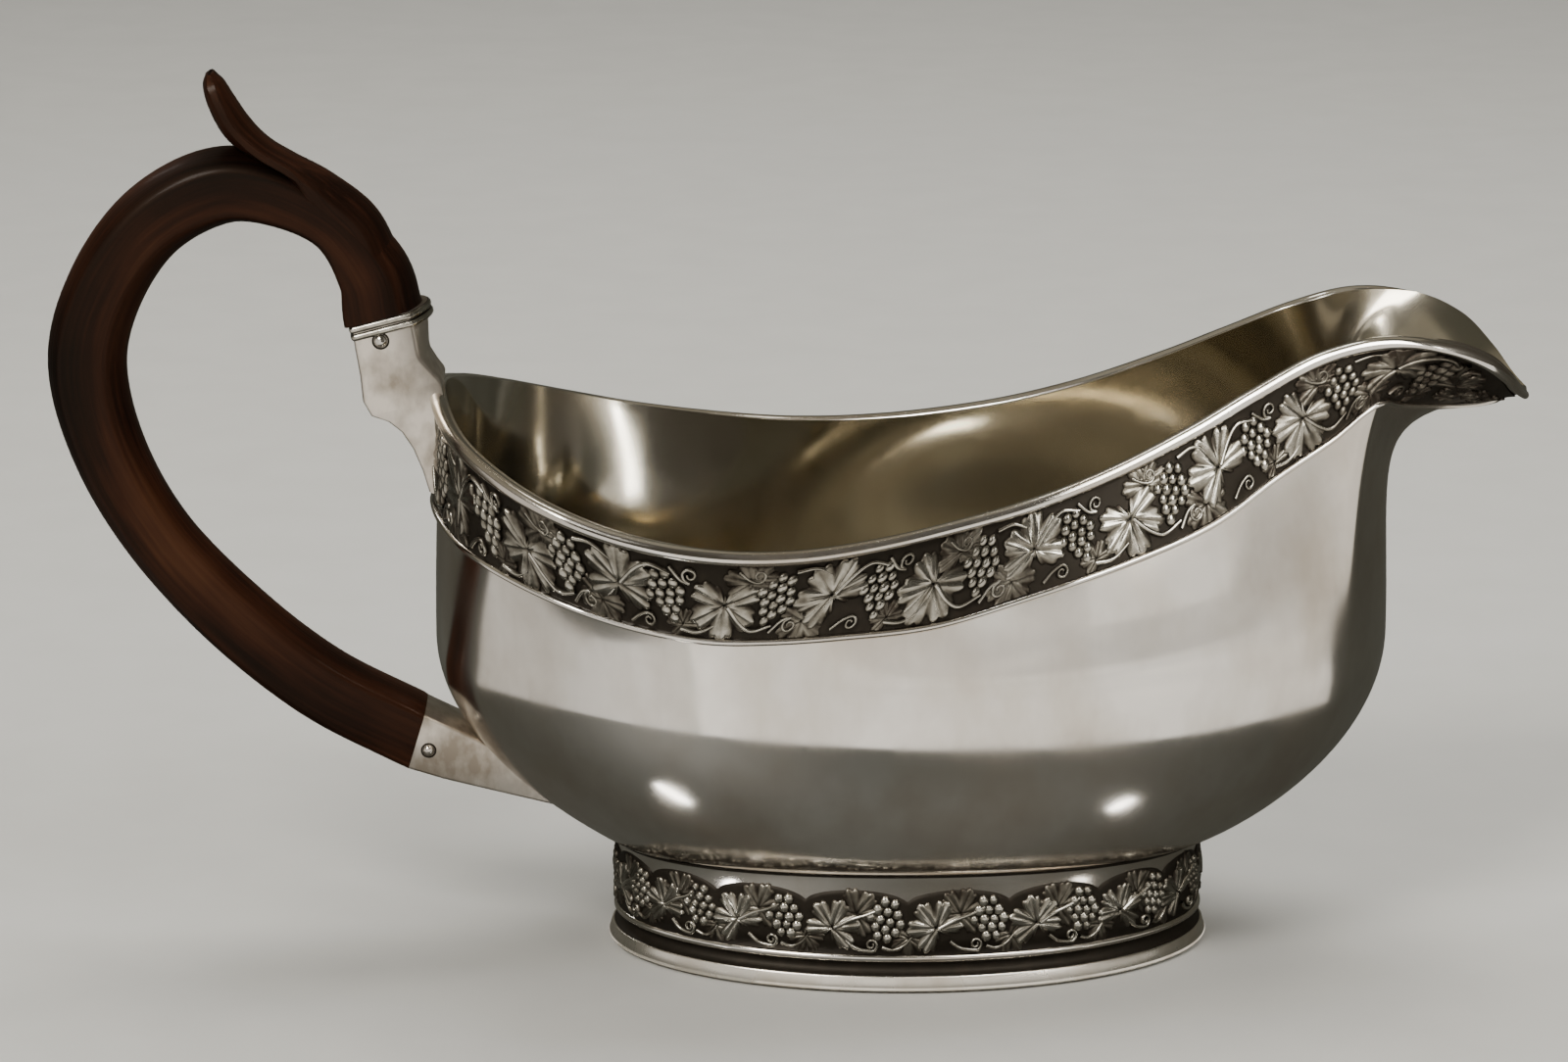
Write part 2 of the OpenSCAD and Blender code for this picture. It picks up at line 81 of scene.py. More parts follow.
# Stations of the rim from the tip of the lip to the middle of the back: x, y, height of the rim and
# height of the rim band's lower edge.
RIM = np.array([
    [96, 0, 87.3, 86.7], [94.4, 4.6, 88.9, 86.8], [91.9, 9.6, 92.2, 87.6], [87.6, 14.3, 96.3, 88.5],
    [80.5, 16.9, 99.3, 89.2], [71, 17, 100.1, 88.2], [61, 17, 97.6, 83.6], [51, 19.8, 92.9, 78.6],
    [41, 23.5, 87.9, 73], [29, 27.4, 82.7, 68.4], [17, 30.8, 78.8, 64.5], [5, 33.9, 76.2, 60.9],
    [-7, 37.3, 74.4, 59.7], [-19, 40.4, 73.6, 59.1], [-31, 42, 74.2, 59.1], [-43, 40.8, 76.1, 60.4],
    [-54, 36.8, 79.2, 62.5], [-63, 29.5, 82.8, 65.1], [-70, 18, 86.6, 67.9], [-73, 0, 89.8, 71],
])
PER_SPAN = 14  # points of the rim's curve between two stations
LOOP = 2 * (len(RIM) - 1) * PER_SPAN
REAR = LOOP // 2  # the point of the rim's curve at the middle of the back


# ---- small helpers --------------------
def mix(a, b, t):
    return a + (b - a) * t


def clamp(t):
    return np.clip(t, 0.0, 1.0)


def ease(t):
    c = clamp(t)
    return c * c * (3 - 2 * c)


def circle(count):
    """Even angles round a circle."""
    return np.linspace(0, 2 * math.pi, count, endpoint=False)


def unit(v):
    return v / np.maximum(np.linalg.norm(v, axis=-1, keepdims=True), 1e-9)


def catmull(a, b, c, d, t):
    """A smooth curve from b to c, where a and d are the points before and after them."""
    return 0.5 * (2 * b + (c - a) * t + (2 * a - 5 * b + 4 * c - d) * t**2
                  + (3 * b - a - 3 * c + d) * t**3)


def spline(points, samples):
    """An open smooth curve through the points, with that many samples in each stretch."""
    p = np.asarray(points, float)
    p = np.vstack([2 * p[0] - p[1], p, 2 * p[-1] - p[-2]])
    t = np.linspace(0, 1, samples, endpoint=False)[None, :, None]
    curve = catmull(*(p[k:len(p) - 3 + k, None] for k in range(4)), t).reshape(-1, p.shape[1])
    return np.vstack([curve, p[-2]])


def grid_faces(rows, cols, wrap_rows, wrap_cols):
    """Quads over points listed row by row."""
    i = np.arange(rows if wrap_rows else rows - 1)[:, None]
    j = np.arange(cols if wrap_cols else cols - 1)[None, :]
    i2 = (i + 1) % rows
    j2 = (j + 1) % cols
    corners = [i * cols + j, i2 * cols + j, i2 * cols + j2, i * cols + j2]
    return np.stack([np.broadcast_to(c, (len(i), j.shape[1])) for c in corners], -1).reshape(-1, 4)


class Sheet:
    """Collects patches of mesh: points in mm, faces, one number of relief at each point."""

    def __init__(self):
        self.points, self.faces, self.slots, self.relief = [], [], [], []
        self.count = 0

    def grid(self, points, relief=0.0, slot=0, wrap_rows=False, wrap_cols=False, flip=False):
        """A patch of rows and columns of points, with one relief for all of them or one for each."""
        faces = grid_faces(*points.shape[:2], wrap_rows, wrap_cols) + self.count
        self.points.append(points.reshape(-1, 3))
        self.relief.append(np.broadcast_to(relief, points.shape[:2]).reshape(-1))
        self.faces += (faces[:, ::-1] if flip else faces).tolist()
        self.slots += [slot] * len(faces)
        self.count += points.shape[0] * points.shape[1]

    def loft(self, rings, closed=False, relief=0.0):
        """Closed sections joined one after another: round to the first again, or with flat ends."""
        start, around = self.count, rings.shape[1]
        self.grid(rings, relief, wrap_rows=closed, wrap_cols=True)
        if not closed:
            first = list(range(start, start + around))
            last = list(range(self.count - around, self.count))
            self.faces += [first, last[::-1]]
            self.slots += [0, 0]


def new_object(name, data):
    item = bpy.data.objects.new(name, data)
    bpy.context.scene.collection.objects.link(item)
    return item


def turn_outwards(mesh):
    """Turns a whole mesh over if its signed volume is negative, so that it faces out of the object.

    A patch that runs against the rest of its mesh, as the rim's leaves and grapes do, stays as it is.
    """
    shape = bmesh.new()
    shape.from_mesh(mesh)
    if shape.calc_volume(signed=True) < 0:
        mesh.flip_normals()
    shape.free()


def make_piece(name, sheet, materials, nodes, sharp_degrees=40, extra=None):
    """A Blender object from a sheet, riding with the part and standing for the given CAD nodes."""
    points = np.vstack(sheet.points) * MM
    mesh = bpy.data.meshes.new(name)
    mesh.from_pydata(points.tolist(), [], sheet.faces)
    for material in materials:
        mesh.materials.append(material)
    mesh.polygons.foreach_set("material_index", sheet.slots)
    attributes = {"relief": np.concatenate(sheet.relief)}
    attributes.update(extra or {})
    for title, values in attributes.items():
        values = np.asarray(values, float)
        kind, key = ("FLOAT_VECTOR", "vector") if values.ndim == 2 else ("FLOAT", "value")
        layer = mesh.attributes.new(title, kind, "POINT")
        layer.data.foreach_set(key, values.reshape(-1))
    mesh.update()
    mesh.validate()
    turn_outwards(mesh)
    mesh.shade_smooth()
    mesh.set_sharp_from_angle(angle=math.radians(sharp_degrees))
    piece = new_object(name, mesh)
    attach(piece, "root")
    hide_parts(*nodes)


# ---- the bowl's wall --------------------
def rim_line():
    """The rim's closed curve from the tip of the lip, +Y side first, with the columns of RIM."""
    ring = np.vstack([RIM, RIM[-2:0:-1] * [1, -1, 1, 1]])
    t = (np.arange(PER_SPAN) / PER_SPAN)[None, :, None]
    a, b, c, d = (np.roll(ring, s, axis=0)[:, None] for s in (1, 0, -1, -2))
    return catmull(a, b, c, d, t).reshape(-1, 4)


RIM_CURVE = rim_line()


def ellipse_below(a, b):
    """The points of an ellipse in the directions of the rim's points, and their angles."""
    angle = np.arctan2(RIM_CURVE[:, 1] / b, RIM_CURVE[:, 0] / a)
    return a * np.cos(angle), b * np.sin(angle), angle


belly_x, belly_y, angle = ellipse_below(BELLY_HALF_LENGTH, BELLY_HALF_WIDTH)
BELLY = np.stack([belly_x + BOWL_AHEAD - BELLY_SHIFT * np.sin(angle) ** 2, belly_y,
                  np.full(LOOP, float(BELLY_HEIGHT))], -1)
join_x, join_y, angle = ellipse_below(JOIN_HALF_LENGTH, JOIN_HALF_WIDTH)
JOIN = np.stack([join_x, join_y, FOOT_HEIGHT - JOINT_DIP * np.cos(2 * angle)], -1)


def upper_wall(u):
    """The wall above the belly, with one row of u for each place round the rim: 0 belly, 1 rim."""
    u = u[..., None]
    top = RIM_CURVE[:, None, :3]
    belly = BELLY[:, None]
    rise = top[..., 2:] - BELLY_HEIGHT
    lip = ease((RIM_CURVE[:, None, :1] - LIP_START) / LIP_TURN)
    start = np.concatenate([0 * rise, 0 * rise, mix(rise, NECK_RISE, lip)], -1)
    end = np.concatenate([mix(1, LIP_SWEEP, lip) * (top - belly)[..., :2], mix(rise, LIP_RISE, lip)], -1)
    # A Hermite curve that leaves the belly along start and reaches the rim along end
    return (belly * (2 * u**3 - 3 * u**2 + 1) + start * (u**3 - 2 * u**2 + u)
            + top * (3 * u**2 - 2 * u**3) + end * (u**3 - u**2))


def lower_wall(w):
    """The wall below the belly: w is 1 at the belly and 0 where the foot joins."""
    w = w[..., None]
    curve = mix(REAR_CURVE, FRONT_CURVE, (1 + BELLY[:, None, :1] / BELLY_HALF_LENGTH) / 2)
    g = (1 - (1 - w) ** 2) ** curve
    flat = mix(JOIN[:, None, :2], BELLY[:, None, :2], g)
    return np.concatenate([flat, mix(JOIN[:, None, 2:], BELLY_HEIGHT, w)], -1)


HALVINGS = 20  # steps of the search in solve_u


def solve_u(is_above):
    """The u at which is_above turns true, for each place round the rim."""
    low, high = np.zeros(LOOP), np.ones(LOOP)
    for _ in range(HALVINGS):
        middle = (low + high) / 2
        above = is_above(upper_wall(middle[:, None])[:, 0])
        high = np.where(above, middle, high)
        low = np.where(above, low, middle)
    return (low + high) / 2


def rim_gap(points):
    return np.linalg.norm(RIM_CURVE[:, :3] - points, axis=1)


def rows_between(a, b, n):
    """n steps of rows from a to b, the last left out."""
    return a[:, None] + (b - a)[:, None] * (np.arange(n) / n)[None, :]


ONE, ZERO = np.ones(LOOP), np.zeros(LOOP)
U_WIRE = solve_u(lambda p: rim_gap(p) <= WIRE_DEPTH)
U_LOW = solve_u(lambda p: p[:, 2] >= RIM_CURVE[:, 3])
U_BAND_LOW = mix(U_LOW, ONE, LOWER_WIRE_DEPTH / rim_gap(upper_wall(U_LOW[:, None])[:, 0]))
WIRE_ROWS, VINE_ROWS, LOW_WIRE_ROWS, SIDE_ROWS, LOWER_ROWS = 3, 12, 2, 18, 34
LOWER_CROWDING = 1.4  # above 1, the rows crowd towards the foot
UNDER_SHARES = np.array([0.9, 0.75, 0.6, 0.45, 0.3, 0.15, 0.04])  # of the way out to the foot's joint
u_rows = np.concatenate([
    rows_between(ONE, U_WIRE, WIRE_ROWS),
    rows_between(U_WIRE, U_BAND_LOW, VINE_ROWS),
    rows_between(U_BAND_LOW, U_LOW, LOW_WIRE_ROWS),
    rows_between(U_LOW, ZERO, SIDE_ROWS),
], 1)
w_row = (1 - np.arange(LOWER_ROWS + 1) / LOWER_ROWS) ** LOWER_CROWDING
w_rows = np.broadcast_to(w_row, (LOOP, LOWER_ROWS + 1))
under = np.concatenate([JOIN[:, None, :2] * UNDER_SHARES[None, :, None],
                        mix(BOTTOM_HEIGHT, JOIN[:, None, 2:], (UNDER_SHARES**2)[None, :, None])], -1)
# The outer skin of the bowl: points for each place round the rim and each row from rim to bottom
SKIN = np.concatenate([upper_wall(u_rows), lower_wall(w_rows), under], 1)
down = np.gradient(SKIN, axis=1)
around = np.roll(SKIN, -1, axis=0) - np.roll(SKIN, 1, axis=0)
OUT = unit(np.cross(down, around))
VINE_TOP = WIRE_ROWS
VINE_LOW = VINE_TOP + VINE_ROWS
LOW_ROW = VINE_LOW + LOW_WIRE_ROWS


def make_bowl(outside, inside):
    sheet = Sheet()
    for surface, slot, inner in [(SKIN, 0, False), (SKIN - OUT * WALL, 1, True)]:
        start, columns = sheet.count, surface.shape[1]
        sheet.grid(surface, wrap_rows=True, slot=slot, flip=inner)
        # The rows under the foot stop just short of the middle, and one face closes them.
        middle = list(range(start + columns - 1, sheet.count, columns))
        sheet.faces.append(middle[::-1] if inner else middle)
        sheet.slots.append(slot)
    edge = np.stack([SKIN[:, 0] - OUT[:, 0] * WALL, SKIN[:, 0]], 1)
    sheet.grid(edge, wrap_rows=True)
    make_piece("bowl_shell", sheet, [outside, inside], ["bowl"], sharp_degrees=50)


WIRE_POINTS = 20  # round the section of a wire
TIP_START, TIP_FADE = 88, 8  # along x, where the wires begin to thin and over what length
TIP_SIZE = 0.5


def ring_wire(base, down_dir, out_dir, down_middle, down_half, out_middle, out_half):
    """A wire of oval section round the rim, thinner at the tip of the lip."""
    a = circle(WIRE_POINTS)
    size = mix(1, TIP_SIZE, ease((base[:, :1] - TIP_START) / TIP_FADE))[:, :, None]
    along_wall = (down_middle + down_half * np.cos(a))[None, :, None] * down_dir[:, None]
    outwards = (out_middle + out_half * np.sin(a))[None, :, None] * out_dir[:, None]
    return base[:, None] + (along_wall + outwards) * size


def make_rim_wires(silver):
    sheet = Sheet()
    rim_down = unit(SKIN[:, VINE_TOP] - SKIN[:, 0])
    sheet.loft(ring_wire(SKIN[:, 0], rim_down, OUT[:, 0], down_middle=0.62, down_half=1.15,
                         out_middle=0.4, out_half=1.2), closed=True)
    make_piece("rim_wire_round", sheet, [silver], ["rim_wire"])
    sheet = Sheet()
    step = unit(SKIN[:, LOW_ROW] - SKIN[:, VINE_LOW])
    half, lift = LOWER_WIRE_DEPTH / 2, 0.1
    sheet.loft(ring_wire(SKIN[:, VINE_LOW], step, OUT[:, VINE_LOW], half, half, lift,
                         LOWER_WIRE_RELIEF - lift), closed=True)
    make_piece("rim_lower_wire_round", sheet, [silver], ["rim_lower_wire"])


# ---- vine relief --------------------
# A vine shape is drawn flat, x along its band and y up, with a height above the field, in mm. A band
# then lays it on the silver.
EDGE_SHARE = 1.02  # a leaf drops to the field between its outline and this share of it


def polar_shape(outline, rings, height):
    """Points from a middle out to an outline given as radii at even angles, with a steep edge."""
    a = circle(len(outline))
    share = np.append(np.linspace(0.04, 1, rings), EDGE_SHARE)[:, None]
    x = share * outline * np.cos(a)
    y = share * outline * np.sin(a)
    h = height(share, a[None, :], x, y)
    h[-1] = 0.0
    return np.stack([x, y, h], -1)


# Each lobe of a leaf: its direction in degrees, its reach and its breadth in degrees
LOBES = [(90, 1.0, 35), (34, 0.96, 34), (146, 0.96, 34), (-24, 0.82, 36), (204, 0.82, 36)]
DIRECTIONS = [lobe[0] for lobe in LOBES]
LOBE_POWER = 2.6  # above 2, a lobe is blunter than a bell curve
TEETH = 9
LEAF_SIDES, LEAF_RINGS = 108, 10  # points round a leaf and out to its edge
# Shares of a leaf's size: its core, its lobes, its teeth and the notch at its stalk
CORE_REACH, LOBE_REACH, TOOTH_REACH, TOOTH_INSET, STALK_NOTCH = 0.46, 0.48, 0.12, 0.03, 0.3
STALK_BREADTH, HOLLOW_BREADTH = 20, 28  # in degrees
# Heights: the crown of a leaf and its droop, its flutes, the swelling beside each vein, the groove along
# it and the hollow between two lobes
CROWN, DROOP, FLUTE, SWELL, GROOVE, HOLLOW = 0.80, 0.22, 0.06, 0.13, 0.24, 0.5
SWELL_PLACE, SWELL_BREADTH, GROOVE_BREADTH = 0.13, 0.07, 0.028  # shares of the leaf's size
CROWN_SHARE = 0.3  # how far out the crown is highest and the hollows begin


def leaf_shape(size, rise):
    """A vine leaf of five toothed lobes, fluted towards its teeth, with a groove along each vein."""
    angle = circle(LEAF_SIDES)
    a = np.degrees(angle)

    def away(direction):
        return np.abs((a - direction + 180) % 360 - 180)

    lobes = np.max([reach * np.exp(-(away(direction) / breadth) ** LOBE_POWER)
                    for direction, reach, breadth in LOBES], axis=0)
    teeth = TOOTH_REACH * np.abs(np.sin(TEETH * angle)) - TOOTH_INSET
    stalk = STALK_NOTCH * np.exp(-(away(-90) / STALK_BREADTH) ** 2)
    outline = size * (CORE_REACH + LOBE_REACH * lobes + teeth - stalk)

    def height(share, around, x, y):
        h = CROWN - DROOP * (share - CROWN_SHARE) ** 2 - FLUTE * np.cos(2 * TEETH * around) * share
        for direction in DIRECTIONS:
            v = math.radians(direction)
            beside = np.abs(-x * math.sin(v) + y * math.cos(v)) / size
            ahead = x * math.cos(v) + y * math.sin(v) > 0
            swelling = SWELL * np.exp(-((beside - SWELL_PLACE) / SWELL_BREADTH) ** 2) * share
            groove = GROOVE * np.exp(-(beside / GROOVE_BREADTH) ** 2) * (1 - 0.5 * share)
            h = h + ahead * (swelling - groove)
        between = np.min([away(direction) for direction in DIRECTIONS], axis=0) / HOLLOW_BREADTH
        outer = clamp((share - CROWN_SHARE) / (1 - CROWN_SHARE))
        return rise * (h - HOLLOW * clamp(between[None, :]) ** 3 * outer)

    return polar_shape(outline, LEAF_RINGS, height)


BERRY_SIDES, BERRY_RINGS = 12, 5
BERRY_LENGTH, BERRY_RISE = 1.1, 0.85  # of a grape's radius
BERRY_LIFT = 0.3


def berry_shape(radius):
    """A grape standing on the field, a little longer than wide."""
    a = circle(BERRY_SIDES)
    tilt = np.append(np.linspace(0.06, math.pi / 2, BERRY_RINGS), math.pi / 2)[:, None]
    x = radius * np.sin(tilt) * np.cos(a)
    y = BERRY_LENGTH * radius * np.sin(tilt) * np.sin(a)
    h = BERRY_LIFT + BERRY_RISE * radius * np.cos(tilt) + 0 * x
    h[-1] = 0.0
    return np.stack([x, y, h], -1)


STEM_SIDES = 6
STEM_END, STEM_RISE = 0.6, 1.3  # shares of a stem's thickness: at its end, and in height


def stem_shape(points, thick, lift, samples):
    """A round stem along a curve, thinner towards its end."""
    line = spline(points, samples)
    ahead = unit(np.gradient(line, axis=0))
    side = np.stack([-ahead[:, 1], ahead[:, 0]], -1)
    a = np.linspace(-0.1, math.pi + 0.1, STEM_SIDES)
    width = thick * np.linspace(1, STEM_END, len(line))[:, None]
    x = line[:, None, 0] + width * np.cos(a) * side[:, None, 0]
    y = line[:, None, 1] + width * np.cos(a) * side[:, None, 1]
    h = lift + width * STEM_RISE * np.sin(a)
    h[:, 0] = h[:, -1] = 0.0
    return np.stack([x, y, h], -1)


CURL_STEPS = 8  # points for each turn of a tendril
CURL_END = 0.28  # share of its radius left at its end


def curl_points(x, y, radius, start, turns, way, lead):
    """A tendril: its lead-in, then a spiral that closes in on x, y."""
    count = int(turns * CURL_STEPS) + 1
    a = math.radians(start) + way * np.linspace(0, 2 * math.pi * turns, count)
    r = radius * np.linspace(1, CURL_END, count)
    return np.vstack([lead, np.stack([x + r * np.cos(a), y + r * np.sin(a)], -1)])


def placed(shape, x, y, turn=0.0):
    """The shape turned by so many degrees and moved to x, y."""
    c, s = math.cos(math.radians(turn)), math.sin(math.radians(turn))
    px, py = shape[..., 0], shape[..., 1]
    return np.stack([x + px * c - py * s, y + px * s + py * c, shape[..., 2]], -1)


ROW_STEP = 0.88  # from row to row of a bunch, as a share of the grapes' pitch
ROW_SHIFT, GRAPE_SHIFT = 0.10, 0.12  # how far a row and a grape are out of line, likewise


def bunch_places(rows, pitch):
    """Places of the grapes of one bunch, listed from its top, each row a little out of line."""
    places = []
    y = (len(rows) - 1) * pitch * (ROW_STEP / 2)
    for number, count in enumerate(rows):
        shift = ROW_SHIFT * pitch * math.sin(2.4 * number + 0.6)
        for k in range(count):
            across = (k - (count - 1) / 2) * pitch + shift
            places.append((across, y + GRAPE_SHIFT * pitch * math.cos(5 * k)))
        y -= pitch * ROW_STEP
    return places


RELIEF_SCALE = 0.86  # mm on the silver for each mm of a shape's height
FULL_POLISH = 1.2  # height of a shape at which it is rubbed fully bright
DULLING, DULL_FADE = 0.45, 30  # share of the polish lost on a dull stretch, and over what length


class Band:
    """A strip of silver that vine shapes are laid on. place(x, y, h) gives points in mm."""

    def __init__(self, place, sheet, dull_from=math.inf):
        self.place, self.sheet, self.dull_from = place, sheet, dull_from

    def lay(self, shape, wrap=True):
        points = self.place(shape[..., 0], shape[..., 1], shape[..., 2] * RELIEF_SCALE)
        polish = 1 - DULLING * ease((shape[..., 0] - self.dull_from) / DULL_FADE)
        self.sheet.grid(points, clamp(shape[..., 2] / FULL_POLISH) * polish, wrap_cols=wrap)

    def leaf(self, size, rise, x, y, turn):
        self.lay(placed(leaf_shape(size, rise), x, y, turn))

    def stem(self, points, thick, lift, samples=6):
        self.lay(stem_shape(points, thick, lift, samples), wrap=False)

    def bunch(self, x, y, rows, pitch, turn, number):
        c, s = math.cos(math.radians(turn)), math.sin(math.radians(turn))
        for k, (across, up) in enumerate(bunch_places(rows, pitch)):
            berry = berry_shape(pitch * (0.51 + 0.04 * math.sin(3.1 * k + number)))
            self.lay(placed(berry, x + across * c - up * s, y + across * s + up * c, turn))


LEAF_PITCH = 14.7
TIP_LENGTH = 17.0  # the stretch next to the lip's tip that holds only small shapes
vine_rows = SKIN[:, VINE_TOP:VINE_LOW + 1]
vine_out = OUT[:, VINE_TOP:VINE_LOW + 1]
middle_line = vine_rows[:, VINE_ROWS // 2]
steps = np.linalg.norm(np.diff(middle_line[:REAR + 1], axis=0), axis=1)
SIDE_LENGTHS = np.concatenate([[0], np.cumsum(steps)])
SIDE_LENGTH = SIDE_LENGTHS[-1]
NOMINAL_DEPTH = 11.4
FIELD_LIFT = 0.25
THIN_RELIEF = 0.55  # share of the relief that is left where the band is thinnest


def rim_place(side):
    """The rim band's surface on one side: side 1 is +Y. x runs from the middle of the back to the lip."""

    def place(x, y, h):
        from_lip = np.clip(SIDE_LENGTH - x, 0, SIDE_LENGTH)
        column = np.interp(from_lip, SIDE_LENGTHS, np.arange(REAR + 1))
        row = clamp(0.5 - y / NOMINAL_DEPTH) * VINE_ROWS
        i, j = np.floor(column).astype(int), np.minimum(np.floor(row).astype(int), VINE_ROWS - 1)
        i = np.minimum(i, REAR - 1)
        fi, fj = (column - i)[..., None], (row - j)[..., None]

        def sample(grid):
            top = mix(grid[i, j], grid[i + 1, j], fi)
            low = mix(grid[i, j + 1], grid[i + 1, j + 1], fi)
            return mix(top, low, fj)

        depth = np.linalg.norm(vine_rows[i, 0] - vine_rows[i, VINE_ROWS], axis=-1)
        relief = mix(THIN_RELIEF, 1, clamp(depth / NOMINAL_DEPTH)[..., None])
        points = sample(vine_rows) + unit(sample(vine_out)) * (FIELD_LIFT + h[..., None] * relief)
        return points * [1, side, 1]

    return place


RIM_BUNCH = [2, 3, 4, 3, 2, 1]  # grapes in each row


def rim_motif(band, x, up, number):
    """One leaf and one bunch of grapes; up is 1 or -1 and turns the leaves and tendrils over."""
    sway = math.sin(1.7 * number)
    band.leaf(4.0, 0.66, x - 3.4 * up, -3.2 * up, turn=90 + 75 * up + 12 * sway)
    band.leaf(5.6, 1.0, x, 0.4 * up, turn=(20 if up > 0 else 168) + 24 * sway)
    bunch_x = x + LEAF_PITCH * 0.5
    band.leaf(2.6, 0.6, bunch_x + 2.4 * up, -4.0 * up, turn=90 - 60 * up)
    band.bunch(bunch_x, -0.2 * up, RIM_BUNCH, 1.56, 12 * up - 8 * sway, number)
    stalk = [(x + 0.4, 0.6 * up), (x + 2.6, 3.1 * up), (x + 4.8, 4.4 * up), (bunch_x + 0.4, 3.6 * up)]
    band.stem(stalk, 0.40, 0.6)
    runner = [(x - 6.4, 4.6 * up), (x - 3.6, 4.9 * up), (x - 1.0, 3.6 * up)]
    band.stem(runner, 0.36, 0.5)
    curl = curl_points(x + 10.6, 3.7 * up, 1.2, -90 * up, 1.3, -up,
                       lead=[(x + 7.6, 4.7 * up), (x + 9.2, 2.9 * up)])
    band.stem(curl, 0.30, 0.5, 4)
    tail = curl_points(x + 4.3, -4.2 * up, 1.0, 90 * up, 1.2, -up,
                       lead=[(x + 1.4, -4.9 * up), (x + 2.9, -3.7 * up)])
    band.stem(tail, 0.28, 0.45, 4)


TIP_LEAVES, TIP_GRAPES = 4, 4  # the leaves of the tip, and the grapes beside each


def tip_trail(band, start):
    """Small leaves and single grapes that thin out towards the tip of the lip."""
    for number in range(TIP_LEAVES):
        share = number / TIP_LEAVES
        x = start + 1.5 + share * TIP_LENGTH * 0.8
        size = mix(3.6, 1.8, share)
        band.leaf(size, 0.8, x, 1.0 - 2 * (number % 2), turn=80 * number)
        for k in range(TIP_GRAPES):
            place = (x + size * 0.6 + 1.1 * math.cos(1.9 * k), 2.6 * math.sin(1.9 * k + number))
            band.lay(placed(berry_shape(0.7 - 0.25 * share), *place))


FIELD_COLUMNS, FIELD_ROWS = 260, 9
DULL_LENGTH = 55  # the stretch next to the lip's tip that is less rubbed
VINE_SHARP = 89  # in degrees: only the shapes' steep edges are sharp


def make_rim_vines(oxidised):
    for side, name in [(1, "left"), (-1, "right")]:
        sheet = Sheet()
        place = rim_place(side)
        x = np.linspace(0, SIDE_LENGTH, FIELD_COLUMNS)
        y = np.linspace(NOMINAL_DEPTH / 2, -NOMINAL_DEPTH / 2, FIELD_ROWS)
        x, y = np.meshgrid(x, y, indexing="ij")
        sheet.grid(place(x, y, 0 * x))
        band = Band(place, sheet, dull_from=SIDE_LENGTH - DULL_LENGTH)
        count = int((SIDE_LENGTH - TIP_LENGTH) / LEAF_PITCH)
        pitch = (SIDE_LENGTH - TIP_LENGTH) / count
        for number in range(count):
            rim_motif(band, (number + 0.3) * pitch, 1 if number % 2 else -1, number)
        tip_trail(band, SIDE_LENGTH - TIP_LENGTH)
        make_piece("rim_vine_" + name, sheet, [oxidised], ["rim_vine_band_" + name],
                   VINE_SHARP)


# ---- foot --------------------
# Sections of the foot are lists of insets from its outer size and heights.
MOULDING_TOP = PLINTH_HEIGHT + 3.3
FOOT_TURNS = SCALLOPS * 24
ANGLES = circle(FOOT_TURNS)
FOOT_SHARP = 60  # in degrees


def foot_ring(inset, z):
    """A ring of points round the foot at an inset from its outer size."""
    x = (FOOT_HALF_LENGTH - inset) * np.cos(ANGLES)
    y = (FOOT_HALF_WIDTH - inset) * np.sin(ANGLES)
    return np.stack([x, y, np.broadcast_to(z, ANGLES.shape)], -1)


def foot_rings(section):
    return np.stack([foot_ring(inset, z) for inset, z in section], 1)


def foot_band(name, section, material, node):
    sheet = Sheet()
    sheet.loft(foot_rings(section), closed=True)
    make_piece(name, sheet, [material], [node], FOOT_SHARP)


def arc(inset, z, radius, start, end, points):
    """Corners along an arc of the section, the angle measured from outwards to up."""
    a = np.radians(np.linspace(start, end, points))
    return [(inset - radius * math.cos(v), z + radius * math.sin(v)) for v in a]


def make_foot(silver, worn, oxidised):
    z = PLINTH_HEIGHT
    plinth = (arc(0.3, 0.3, 0.3, -90, 0, 5) + arc(0.85, z - 0.3, 0.3, 15, 90, 5)
              + [(FOOT_WALL, z), (FOOT_WALL, 0)])
    foot_band("foot_plinth_ring", plinth, worn, "foot_plinth")
    bead = arc(1.5, z + 2.7, 0.65, -130, 130, 13) + [(2.6, z + 3.2), (2.6, z + 2.2)]
    foot_band("foot_bead", bead, silver, "foot_moulding")
    top = FOOT_HEIGHT - JOINT_DIP * np.cos(2 * ANGLES)
    outside = [(1.9, top + 0.1), (1.15, top - 0.25), (1.35, top - 0.8), (1.5, top - 2), (1.6, top - 3.2),
               (1.75, MOULDING_TOP), (2.1, z + 2.2), (2.1, z)]
    inside = [(FOOT_WALL, z), (FOOT_WALL + 0.5, MOULDING_TOP), (FOOT_WALL + 0.3, top - 3),
              (2.4, top - 0.9)]
    sheet = Sheet()
    sheet.loft(foot_rings(outside + inside), closed=True)
    # Two dark strips: the hollow under the bead, dark with tarnish and painted shade, and the seam against
    # the bowl
    hollow = [(1.7, z + 2.3), (1.95, z + 1.9), (2.0, z + 1.2), (1.8, z + 0.6), (1.3, z + 0.2),
              (0.9, z + 0.02)]
    seam = [(1.0, top + 0.15), (1.05, top - 0.1), (1.25, top - 0.35)]
    for strip in (hollow, seam):
        sheet.grid(foot_rings(strip), slot=1, wrap_rows=True)
    make_piece("foot_wall", sheet, [silver, oxidised], ["foot_collar"], FOOT_SHARP)
    make_foot_vine(oxidised)


VALLEY_DROP = 3.8  # from the top of the foot to where two scallops meet
SCALLOP_POWER = 0.5  # below 1, the scallops are fuller than a cosine


def foot_top(angle):
    """Height of the scalloped upper edge of the foot's vine band."""
    arch = np.abs(np.cos((angle - math.radians(SCALLOP_TURN)) * SCALLOPS / 2)) ** SCALLOP_POWER
    return FOOT_HEIGHT - VALLEY_DROP + SCALLOP_RISE * arch


